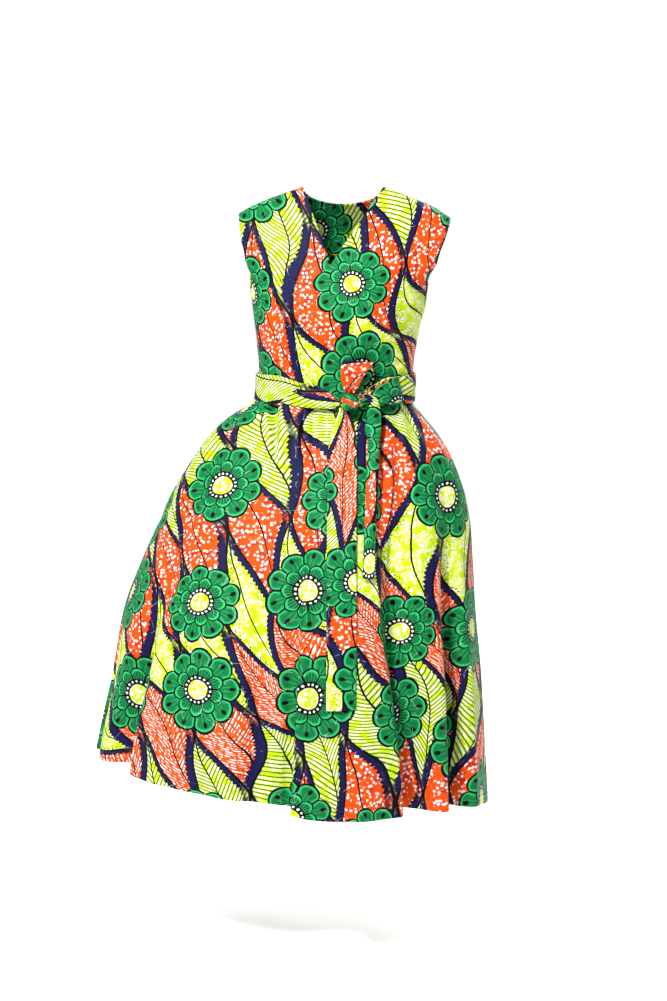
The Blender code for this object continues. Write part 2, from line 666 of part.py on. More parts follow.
GREEN, LIME, ORANGE, NAVY = (0.03, 0.27, 0.10), (0.58, 0.68, 0.05), (0.85, 0.12, 0.03), (0.02, 0.02, 0.10)
bodice("bodice_front", False, LIME)
bodice("bodice_back", True, GREEN)
skirt_panel("skirt_front_upper", -90, 90, False, (0, SKIRT_SPLIT), ORANGE)
skirt_panel("skirt_front_lower", -90, 90, False, (SKIRT_SPLIT, SKIRT_ROWS), ORANGE)
skirt_panel("skirt_back_upper", 90, 270, True, (0, SKIRT_SPLIT), GREEN)
skirt_panel("skirt_back_lower", 90, 270, True, (SKIRT_SPLIT, SKIRT_ROWS), GREEN)
pocket_layer("pocket_left_front", -1, False, NAVY)
pocket_layer("pocket_left_back", -1, True, NAVY)
pocket_layer("pocket_right_front", 1, False, NAVY)
pocket_layer("pocket_right_back", 1, True, NAVY)
belt_band("belt_band", LIME)
belt_stretch("belt_front_left", GREEN)
belt_knot("belt_knot", LIME)
bow_loop("bow_loop_up", LOOP_UP, UP_ROOT, UP_LEAN, GREEN)
bow_loop("bow_loop_right", LOOP_RIGHT, RIGHT_ROOT, RIGHT_LEAN, ORANGE)
belt_tail_long("belt_tail_long", LIME)
belt_tail_short("belt_tail_short", NAVY)
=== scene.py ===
"""Looks of the sleeveless dress: cloth shells at their real size on the fixed frame, with the print, the seams, the folds, a floor, soft light and the camera.

Metres, Z up. "drop" is a height below the shoulder line, and "angle" goes round the body in degrees: 0 at centre front, 90 at the right side seam, 180 at centre back."""

import math
from collections import namedtuple

import bpy
import numpy as np
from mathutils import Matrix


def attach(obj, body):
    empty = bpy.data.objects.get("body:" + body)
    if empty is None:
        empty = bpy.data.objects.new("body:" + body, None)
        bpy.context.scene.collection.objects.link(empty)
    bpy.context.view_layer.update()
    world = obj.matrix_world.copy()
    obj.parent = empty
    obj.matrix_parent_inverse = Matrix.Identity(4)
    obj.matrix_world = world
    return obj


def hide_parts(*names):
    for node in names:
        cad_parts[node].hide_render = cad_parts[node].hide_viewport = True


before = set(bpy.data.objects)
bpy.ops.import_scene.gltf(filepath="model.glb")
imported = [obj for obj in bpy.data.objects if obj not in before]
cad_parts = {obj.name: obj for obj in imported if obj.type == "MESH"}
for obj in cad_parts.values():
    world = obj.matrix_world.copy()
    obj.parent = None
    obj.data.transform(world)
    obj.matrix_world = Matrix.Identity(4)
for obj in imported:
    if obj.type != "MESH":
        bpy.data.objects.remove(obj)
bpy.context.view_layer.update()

CLOTH = 0.00055  # one layer of the printed cotton
HEM_CLOTH = 0.0013  # two layers turned at the hem and the edges
BELT_CLOTH = 0.0015  # two layers, pressed

# ---- Sizes and tables of the solids, with a fuller top to the skirt at the two sides ----

WAIST = 0.3956  # drop of the waist seam
SHOULDER_SPREAD = 0.0744  # half the width between the neck ends of the shoulder seams
FRONT_SQUARE, BACK_SQUARE = 0.88, 0.92  # under 1 makes a section fuller than an ellipse

# Horizontal sections of the bodice
Torso = namedtuple("Torso", "drop centre half front back")
TORSO = [
    Torso(0.000, 0.000, 0.214, 0.056, 0.062),
    Torso(0.050, 0.003, 0.213, 0.064, 0.082),
    Torso(0.088, 0.000, 0.208, 0.078, 0.096),
    Torso(0.117, -0.002, 0.198, 0.089, 0.103),
    Torso(0.139, -0.003, 0.192, 0.096, 0.107),
    Torso(0.163, -0.004, 0.176, 0.104, 0.109),
    Torso(0.191, -0.007, 0.164, 0.110, 0.109),
    Torso(0.225, -0.009, 0.1575, 0.113, 0.106),
    Torso(0.262, -0.011, 0.151, 0.111, 0.102),
    Torso(0.288, -0.012, 0.1475, 0.108, 0.099),
    Torso(0.320, -0.013, 0.1435, 0.105, 0.097),
    Torso(0.356, -0.014, 0.1425, 0.104, 0.096),
    Torso(WAIST, -0.016, 0.1440, 0.104, 0.097),
]

# Centre front line: the bodice is turned a little to the left
Centre = namedtuple("Centre", "drop turn")
CENTRE = [
    Centre(0.000, 0.0),
    Centre(0.137, -5.9),
    Centre(0.250, -5.0),
    Centre(WAIST, -4.0),
]

# Armhole edge from the shoulder tip to the underarm
Armhole = namedtuple("Armhole", "along share front back")
ARMHOLE = [
    Armhole(0.00, 0.000, 66.0, 66.0),
    Armhole(0.25, 0.300, 64.5, 67.0),
    Armhole(0.50, 0.600, 64.5, 68.0),
    Armhole(0.70, 0.800, 68.0, 71.5),
    Armhole(0.85, 0.930, 75.0, 77.0),
    Armhole(0.95, 0.985, 83.0, 84.0),
    Armhole(1.00, 1.000, 90.0, 90.0),
]
Edge = namedtuple("Edge", "tip underarm")
EDGES = {-1: Edge(0.048, 0.192), 1: Edge(0.056, 0.205)}
FRONT_NECK = 0.141  # drop of the V point
BACK_NECK = 0.030  # drop of the back neck at its middle
SHOULDER_ROUND_IN, SHOULDER_ROUND_OUT = 0.100, 0.055  # height over which the front rounds over the shoulder
BUST_DROP, BUST_OUT, BUST_HIGH, BUST_WIDE, BUST_FULL = 0.232, 0.084, 0.060, 0.056, 0.012

# Outline of the skirt at each height, without its valleys
Section = namedtuple("Section", "drop left right front back")
SKIRT = [
    Section(WAIST, -0.1600, 0.1280, 0.104, 0.097),
    Section(0.4080, -0.1860, 0.1380, 0.107, 0.100),
    Section(0.4200, -0.2060, 0.1475, 0.114, 0.108),
    Section(0.4430, -0.2345, 0.1670, 0.128, 0.125),
    Section(0.4860, -0.2700, 0.1950, 0.152, 0.148),
    Section(0.5260, -0.2960, 0.2130, 0.172, 0.168),
    Section(0.5750, -0.3250, 0.2290, 0.194, 0.188),
    Section(0.6260, -0.3480, 0.2390, 0.214, 0.206),
    Section(0.6920, -0.3780, 0.2440, 0.238, 0.228),
    Section(0.7880, -0.4140, 0.2500, 0.268, 0.256),
    Section(0.9110, -0.4370, 0.2620, 0.298, 0.282),
    Section(1.0430, -0.4660, 0.2700, 0.322, 0.302),
    Section(1.1600, -0.4820, 0.2760, 0.336, 0.314),
]

# Drop of the hem round the skirt
Hem = namedtuple("Hem", "angle drop")
HEM = [
    Hem(-90, 1.052),
    Hem(-60, 1.052),
    Hem(-30, 1.064),
    Hem(0, 1.090),
    Hem(15, 1.106),
    Hem(40, 1.112),
    Hem(65, 1.130),
    Hem(90, 1.152),
    Hem(125, 1.130),
    Hem(180, 1.098),
    Hem(235, 1.066),
    Hem(270, 1.052),
]

# Valleys between the flutes: where they run, their reach to each side, their depth under the belt and at the hem, and how far the crest beside them leans over
Valley = namedtuple("Valley", "name waist middle hem before after tuck deep start lean")
VALLEYS = [
    Valley("left_edge", -88, -84, -81, 6, 6, 0.003, 0.016, 0.50, 0.000),
    Valley("left_pleat", -65, -53, -61, 10, 9, 0.006, 0.050, 0.34, 0.004),
    Valley("left_soft", -38, -30, -27, 15, 15, 0.006, 0.014, 0.00, 0.000),
    Valley("front_left", -14, -4, -1, 24, 8, 0.004, 0.048, 0.12, -0.014),
    Valley("front_right", 36, 30.5, 38, 7, 12, 0.006, 0.060, 0.05, 0.010),
    Valley("right_pleat", 64, 57, 57.5, 9, 9, 0.006, 0.085, 0.30, 0.000),
    Valley("right_back", 112, 113, 114, 17, 13, 0.006, 0.056, 0.08, 0.004),
    Valley("back_right", 148, 146, 147, 15, 16, 0.006, 0.050, 0.10, 0.000),
    Valley("back_middle", 181, 184, 183, 15, 17, 0.005, 0.058, 0.12, -0.004),
    Valley("back_left", 214, 215, 218, 17, 14, 0.006, 0.046, 0.08, 0.000),
    Valley("left_back", 246, 245, 247, 14, 14, 0.006, 0.054, 0.10, 0.004),
]

# Pocket openings in the side seams
Opening = namedtuple("Opening", "top bottom front back")
POCKETS = {
    -1: Opening(0.424, 0.580, 0.015, 0.011),
    1: Opening(0.440, 0.596, 0.015, 0.011),
}
Bag = namedtuple("Bag", "along high thick forward down")
BAG = [
    Bag(0.00, 0.92, 0.0105, 0.000, 0.000),
    Bag(0.12, 0.97, 0.0125, 0.002, 0.002),
    Bag(0.30, 1.02, 0.0135, 0.009, 0.008),
    Bag(0.52, 1.04, 0.0130, 0.022, 0.018),
    Bag(0.74, 0.98, 0.0120, 0.038, 0.030),
    Bag(0.90, 0.80, 0.0095, 0.049, 0.039),
    Bag(0.98, 0.48, 0.0050, 0.054, 0.044),
    Bag(1.00, 0.30, 0.0010, 0.055, 0.045),
]
BAG_DEEP = 0.135

# Belt round the waist, from the right of the knot, by the back, to the turned fold at the front left
Band = namedtuple("Band", "along top_angle bottom_angle top bottom out")
BAND = [
    Band(0.000, 13, 13, 0.3760, 0.3950, 0.0070),
    Band(0.060, 26, 26, 0.3600, 0.3965, 0.0058),
    Band(0.120, 42, 42, 0.3450, 0.3945, 0.0052),
    Band(0.250, 90, 90, 0.3420, 0.3925, 0.0052),
    Band(0.500, 180, 180, 0.3420, 0.3925, 0.0052),
    Band(0.750, 270, 270, 0.3420, 0.3915, 0.0052),
    Band(0.860, 308, 300, 0.3420, 0.3935, 0.0052),
    Band(1.000, 341, 322, 0.3590, 0.3960, 0.0052),
]

# Front left stretch, from the turned fold to the knot
Stretch = namedtuple("Stretch", "along top_x top_drop bottom_x bottom_drop out")
STRETCH = [
    Stretch(0.00, -0.0680, 0.3520, -0.1120, 0.3900, 0.0098),
    Stretch(0.25, -0.0530, 0.3565, -0.0850, 0.3955, 0.0104),
    Stretch(0.50, -0.0370, 0.3645, -0.0550, 0.3985, 0.0110),
    Stretch(0.75, -0.0205, 0.3735, -0.0220, 0.3990, 0.0125),
    Stretch(1.00, -0.0075, 0.3815, -0.0075, 0.3945, 0.0150),
]

KNOT_CENTRE, KNOT_HALF = (0.0115, -0.1265, -0.3870), (0.0170, 0.0105, 0.0150)

# Loops of the bow. u runs along the loop and w out of it; w = 0 lies on the front of the dress
Loop = namedtuple("Loop", "along u w half shift")
LOOP_UP = [
    Loop(0.00, 0.0006, 0.0060, 0.0088, -0.0010),
    Loop(0.14, 0.0190, 0.0150, 0.0160, -0.0010),
    Loop(0.30, 0.0400, 0.0195, 0.0225, 0.0020),
    Loop(0.42, 0.0535, 0.0165, 0.0258, 0.0060),
    Loop(0.50, 0.0585, 0.0095, 0.0268, 0.0100),
    Loop(0.58, 0.0550, 0.0030, 0.0266, 0.0130),
    Loop(0.70, 0.0400, 0.0005, 0.0235, 0.0150),
    Loop(0.86, 0.0190, 0.0000, 0.0155, 0.0110),
    Loop(1.00, 0.0006, 0.0000, 0.0085, 0.0050),
]
LOOP_RIGHT = [
    Loop(0.00, 0.0010, 0.0080, 0.0070, 0.0010),
    Loop(0.14, 0.0240, 0.0150, 0.0130, 0.0005),
    Loop(0.30, 0.0500, 0.0175, 0.0190, 0.0000),
    Loop(0.42, 0.0700, 0.0140, 0.0215, -0.0010),
    Loop(0.50, 0.0770, 0.0080, 0.0220, -0.0015),
    Loop(0.58, 0.0720, 0.0020, 0.0215, -0.0030),
    Loop(0.70, 0.0500, 0.0002, 0.0180, -0.0050),
    Loop(0.86, 0.0240, 0.0004, 0.0120, -0.0050),
    Loop(1.00, 0.0010, 0.0010, 0.0060, -0.0030),
]
UP_ROOT, UP_LEAN = (0.0125, -0.3715), 5.0  # x and height of the root, and degrees from upright
RIGHT_ROOT, RIGHT_LEAN = (0.0300, -0.3850), 76.0
LOOP_CLEAR = 0.0088  # from the dress to a loop's back layer

# Tails
Tail = namedtuple("Tail", "along drop left right out")
TAIL_LONG = [
    Tail(0.00, 0.4040, -0.0075, 0.0105, 0.0130),
    Tail(0.05, 0.4240, -0.0150, 0.0165, 0.0100),
    Tail(0.11, 0.4500, -0.0235, 0.0215, 0.0065),
    Tail(0.18, 0.4800, -0.0275, 0.0235, 0.0045),
    Tail(0.40, 0.5900, -0.0290, 0.0225, 0.0040),
    Tail(1.00, 0.9130, -0.0303, 0.0216, 0.0040),
]
Folded = namedtuple("Folded", "along x drop half lift gap")
TAIL_SHORT = [
    Folded(0.00, 0.0325, 0.3722, 0.0060, 0.0360, 0.0036),
    Folded(0.04, 0.0440, 0.3745, 0.0085, 0.0375, 0.0040),
    Folded(0.09, 0.0535, 0.3850, 0.0095, 0.0375, 0.0046),
    Folded(0.16, 0.0545, 0.4050, 0.0125, 0.0300, 0.0050),
    Folded(0.25, 0.0525, 0.4350, 0.0150, 0.0160, 0.0050),
    Folded(0.33, 0.0535, 0.4600, 0.0105, 0.0110, 0.0045),
    Folded(0.45, 0.0520, 0.5000, 0.0110, 0.0095, 0.0045),
    Folded(0.65, 0.0480, 0.5750, 0.0105, 0.0085, 0.0042),
    Folded(1.00, 0.0435, 0.6900, 0.0105, 0.0080, 0.0040),
]

def smooth_at(table, key, name, at):
    """A column of a table as a smooth curve of another column, without overshoot."""
    xs = np.array([getattr(row, key) for row in table], float)
    ys = np.array([getattr(row, name) for row in table], float)
    at = np.clip(np.asarray(at, float), xs[0], xs[-1])
    step = np.diff(xs)
    rise = np.diff(ys) / step
    slope = np.empty_like(ys)
    slope[0], slope[-1] = rise[0], rise[-1]
    product = rise[:-1] * rise[1:]
    total = np.where(product > 0, rise[:-1] + rise[1:], 1.0)
    slope[1:-1] = np.where(product > 0, 2 * product / total, 0.0)
    i = np.clip(np.searchsorted(xs, at, side="right") - 1, 0, len(step) - 1)
    t = (at - xs[i]) / step[i]
    return (
        (2 * t**3 - 3 * t**2 + 1) * ys[i]
        + (t**3 - 2 * t**2 + t) * step[i] * slope[i]
        + (3 * t**2 - 2 * t**3) * ys[i + 1]
        + (t**3 - t**2) * step[i] * slope[i + 1]
    )


def ramp(t):
    t = np.clip(t, 0.0, 1.0)
    return t * t * (3 - 2 * t)




# ---- Bodice ----


def torso(angle, drop, back=False, rounding=1.0):
    """A point of the bodice surface. rounding goes from 0 at the shoulder seam to 1 below it."""
    phi = np.radians(angle)
    half = smooth_at(TORSO, "drop", "half", drop)
    x = smooth_at(TORSO, "drop", "centre", drop) + half * np.sin(phi)
    over = np.sqrt(np.clip(1 - (1 - np.clip(rounding, 0, 1)) ** 2, 0, 1))
    if back:
        depth = smooth_at(TORSO, "drop", "back", drop)
        y = depth * np.cos(phi).clip(0) ** BACK_SQUARE * over
        return x, y
    depth = smooth_at(TORSO, "drop", "front", drop)
    y = -depth * np.cos(phi).clip(0) ** FRONT_SQUARE * over
    turn = np.radians(smooth_at(CENTRE, "drop", "turn", drop))
    for side in (-1, 1):
        middle = half * np.sin(turn) + side * BUST_OUT - 0.010
        y = y - BUST_FULL * np.exp(
            -(((x - middle) / BUST_WIDE) ** 2) - ((drop - BUST_DROP) / BUST_HIGH) ** 2
        ) * over
    return x, y


def angle_of(x, drop):
    half = smooth_at(TORSO, "drop", "half", drop)
    centre = smooth_at(TORSO, "drop", "centre", drop)
    return np.degrees(np.arcsin(np.clip((x - centre) / half, -1, 1)))


def bodice_grid(side, back, up_rows, down_rows, columns):
    """Points of one half of a bodice panel: rows from the shoulder seam to the waist, columns from the neck or centre to the armhole or side."""
    edge = EDGES[side]
    r = np.concatenate(
        [1 - np.cos(np.linspace(0, np.pi / 2, up_rows + 1)), np.ones(down_rows)]
    )[:, None]
    r = 0.45 * r + 0.55 * np.minimum(1, np.arange(up_rows + down_rows + 1) / up_rows)[:, None]
    below = np.clip(np.arange(up_rows + down_rows + 1) - up_rows, 0, None)[:, None] / down_rows
    c = np.linspace(0, 1, columns + 1)[None, :]
    # Inner edge: the neckline, then the centre line
    if back:
        neck_drop = BACK_NECK * np.sin(r * np.pi / 2)
        neck_x = side * SHOULDER_SPREAD * np.cos(r * np.pi / 2)
        floor = BACK_NECK
    else:
        neck_drop = FRONT_NECK * r
        v_x = (
            smooth_at(TORSO, "drop", "centre", FRONT_NECK)
            + smooth_at(TORSO, "drop", "half", FRONT_NECK)
            * np.sin(np.radians(smooth_at(CENTRE, "drop", "turn", FRONT_NECK)))
        )
        neck_x = side * SHOULDER_SPREAD * (1 - r) + v_x * r
        floor = FRONT_NECK
    inner_drop = np.where(below > 0, floor + (WAIST - floor) * below, neck_drop)
    centre_angle = (
        angle_of(np.zeros_like(inner_drop), inner_drop)
        if back
        else smooth_at(CENTRE, "drop", "turn", inner_drop)
    )
    inner_angle = np.where(below > 0, centre_angle, angle_of(neck_x, inner_drop))
    # Outer edge: the armhole, then the side seam
    share = smooth_at(ARMHOLE, "along", "share", r)
    outer_drop = np.where(
        below > 0,
        edge.underarm + (WAIST - edge.underarm) * below,
        edge.tip + (edge.underarm - edge.tip) * share,
    )
    outer_angle = side * smooth_at(ARMHOLE, "along", "back" if back else "front", r)
    angle = inner_angle + (outer_angle - inner_angle) * c
    drop = inner_drop + (outer_drop - inner_drop) * c
    seam_drop = edge.tip * c
    height = SHOULDER_ROUND_IN + (SHOULDER_ROUND_OUT - SHOULDER_ROUND_IN) * c
    x, y = torso(angle, drop, back, (drop - seam_drop) / height)
    return x, y, -drop




# ---- Skirt ----


def valley_angle(valley, s):
    return np.where(
        s < 0.4,
        valley.waist + (valley.middle - valley.waist) * ramp(s / 0.4),
        valley.middle + (valley.hem - valley.middle) * ramp((s - 0.4) / 0.6),
    )


def lens(side, drop):
    """From 0 at the ends of a pocket opening to 1 at its middle."""
    pocket = POCKETS[side]
    t = (drop - pocket.top) / (pocket.bottom - pocket.top)
    return np.where((t > 0) & (t < 1), np.sin(np.pi * np.clip(t, 0, 1)) ** 0.8, 0.0)


def skirt(angle, s):
    """A point of the skirt surface. s goes from 0 at the waist seam to 1 at the hem."""
    angle, s = np.broadcast_arrays(np.asarray(angle, float), np.asarray(s, float))
    wrapped = (angle + 90) % 360 - 90
    wrapped = np.where((wrapped == -90) & (angle > 0), 270.0, wrapped)
    hem = smooth_at(HEM, "angle", "drop", wrapped)
    drop = WAIST + (hem - WAIST) * s
    left, right = (smooth_at(SKIRT, "drop", n, drop) for n in ("left", "right"))
    half, centre = (right - left) / 2, (right + left) / 2
    phi = np.radians(wrapped)
    is_back = np.cos(phi) < 0
    depth = np.where(
        is_back,
        smooth_at(SKIRT, "drop", "back", drop),
        smooth_at(SKIRT, "drop", "front", drop),
    )
    square = 1 + (np.where(is_back, BACK_SQUARE, FRONT_SQUARE) - 1) * (1 - ramp(s / 0.25))
    cosine = np.sign(np.cos(phi)) * np.abs(np.cos(phi)) ** square
    x = centre + half * np.sin(phi)
    y = -depth * cosine
    out_x, out_y = np.sin(phi) / half, -np.cos(phi) / depth
    length = np.hypot(out_x, out_y)
    out_x, out_y = out_x / length, out_y / length
    in_by, along = np.zeros_like(x), np.zeros_like(x)
    for valley in VALLEYS:
        away = (wrapped - valley_angle(valley, s) + 180) % 360 - 180
        u = away / np.where(away < 0, valley.before, valley.after)
        bowl = np.where(np.abs(u) < 1, 0.5 + 0.5 * np.cos(np.pi * np.clip(u, -1, 1)), 0.0)
        grow = np.clip((s - valley.start) / (1 - valley.start), 0, 1) ** 1.15
        tuck = valley.tuck * ramp((s - 0.02) / 0.05) * (1 - 0.6 * ramp(s / 0.6))
        in_by = in_by + bowl * (tuck + valley.deep * grow)
        reach = valley.after if valley.lean < 0 else -valley.before
        crest = np.exp(-(((away - reach) / 5.0) ** 2))
        along = along + valley.lean * grow * crest
    x = x - out_x * in_by - out_y * along
    y = y - out_y * in_by + out_x * along
    for side in (-1, 1):
        near = ramp((np.sin(phi) * side - 0.80) / 0.20)
        pocket = POCKETS[side]
        opening = lens(side, drop) * near
        y = y + np.where(is_back, pocket.back, -pocket.front) * opening
    return x, y, -drop


def skirt_angles(first, last, columns):
    """Column angles, closer together where a valley's walls are steep."""
    fine = np.linspace(first, last, 1441)
    weight = np.ones_like(fine)
    for valley in VALLEYS:
        for turn in (0, 360):
            away = fine - valley.hem - turn
            reach = np.where(away < 0, valley.before, valley.after)
            near = np.abs(away) < reach * 1.15
            weight = weight + near * valley.deep / reach * 480
    total = np.concatenate([[0], np.cumsum((weight[1:] + weight[:-1]) / 2)])
    return np.interp(np.linspace(0, total[-1], columns + 1), total, fine)

# ---- The print, as arithmetic in shader nodes ----


def lin(r, g, b):
    """Linear colour from 0-255 values."""
    return tuple(
        (c / 255 / 12.92) if c / 255 <= 0.04045 else ((c / 255 + 0.055) / 1.055) ** 2.4
        for c in (r, g, b)
    )


class Num:
    """A number inside a node tree, so that patterns can be written as sums."""

    tree = None

    def __init__(self, value):
        self.value = value

    @staticmethod
    def op(name, *terms, clamp=False):
        node = Num.tree.nodes.new("ShaderNodeMath")
        node.operation = name
        node.use_clamp = clamp
        for i, term in enumerate(terms):
            term = term.value if isinstance(term, Num) else term
            if isinstance(term, (int, float)):
                node.inputs[i].default_value = term
            else:
                Num.tree.links.new(term, node.inputs[i])
        return Num(node.outputs[0])

    def __add__(self, o):
        return Num.op("ADD", self, o)

    __radd__ = __add__

    def __sub__(self, o):
        return Num.op("SUBTRACT", self, o)

    def __rsub__(self, o):
        return Num.op("SUBTRACT", o, self)

    def __mul__(self, o):
        return Num.op("MULTIPLY", self, o)

    __rmul__ = __mul__

    def __truediv__(self, o):
        return Num.op("DIVIDE", self, o)

    def __abs__(self):
        return Num.op("ABSOLUTE", self)


def sin(a):
    return Num.op("SINE", a)


def cos(a):
    return Num.op("COSINE", a)


def low(a, b):
    return Num.op("MINIMUM", a, b)


def high(a, b):
    return Num.op("MAXIMUM", a, b)


def hypot(a, b):
    return Num.op("SQRT", a * a + b * b)


def nearest(a):
    return Num.op("ROUND", a)


def zigzag(a):
    """0 at whole numbers, 1 half way between them."""
    return Num.op("PINGPONG", a, 0.5) * 2.0


def under(a, edge, soft):
    """1 where a is below edge, 0 above it, soft over that width."""
    return Num.op("MULTIPLY_ADD", Num.op("SUBTRACT", edge, a), 1.0 / soft, 0.5, clamp=True)


def over(a, edge, soft):
    return Num.op("MULTIPLY_ADD", Num.op("SUBTRACT", a, edge), 1.0 / soft, 0.5, clamp=True)


def both(*masks):
    out = masks[0]
    for mask in masks[1:]:
        out = out * mask
    return out


def blend(base, colour, mask):
    """colour over base where mask is 1."""
    node = Num.tree.nodes.new("ShaderNodeMix")
    node.data_type = "RGBA"
    for i, term in ((6, base), (7, colour)):
        if isinstance(term, tuple):
            node.inputs[i].default_value = (*term, 1.0)
        else:
            Num.tree.links.new(term, node.inputs[i])
    term = mask.value if isinstance(mask, Num) else mask
    if isinstance(term, (int, float)):
        node.inputs[0].default_value = term
    else:
        Num.tree.links.new(term, node.inputs[0])
    return node.outputs[2]


def noise(vector, scale, detail=2.0, offset=None):
    node = Num.tree.nodes.new("ShaderNodeTexNoise")
    node.inputs["Scale"].default_value = scale
    node.inputs["Detail"].default_value = detail
    if offset:
        shift = Num.tree.nodes.new("ShaderNodeVectorMath")
        shift.operation = "ADD"
        Num.tree.links.new(vector, shift.inputs[0])
        shift.inputs[1].default_value = offset
        vector = shift.outputs[0]
    Num.tree.links.new(vector, node.inputs["Vector"])
    return node


def cells(vector, scale, randomness, feature="F1"):
    node = Num.tree.nodes.new("ShaderNodeTexVoronoi")
    node.voronoi_dimensions = "2D"
    node.feature = feature
    node.inputs["Scale"].default_value = scale
    node.inputs["Randomness"].default_value = randomness
    Num.tree.links.new(vector, node.inputs["Vector"])
    return node


def parts(vector):
    node = Num.tree.nodes.new("ShaderNodeSeparateXYZ")
    Num.tree.links.new(vector, node.inputs[0])
    return [Num(s) for s in node.outputs]


def joined(x, y):
    node = Num.tree.nodes.new("ShaderNodeCombineXYZ")
    for i, term in enumerate((x, y)):
        Num.tree.links.new(term.value, node.inputs[i])
    return node.outputs[0]


# Colours of the print
GREEN_DEEP, GREEN, GREEN_LIGHT = lin(14, 108, 62), lin(20, 138, 78), lin(58, 204, 122)
LIME, LIME_PALE, LIME_DEEP = lin(208, 238, 22), lin(236, 250, 120), lin(140, 178, 10)
ORANGE, ORANGE_DEEP = lin(252, 94, 10), lin(224, 58, 8)
NAVY, INK, WHITE = lin(30, 30, 84), lin(8, 7, 18), lin(252, 252, 248)

LEAF_TURN, LEAF_WIDE, LEAF_LONG = 0.46, 0.0540, 0.1500  # radians, and half sizes in metres
FLOWER_STEP, FLOWER_OUT = 0.196, 0.0735  # metres between flowers, and a flower's radius


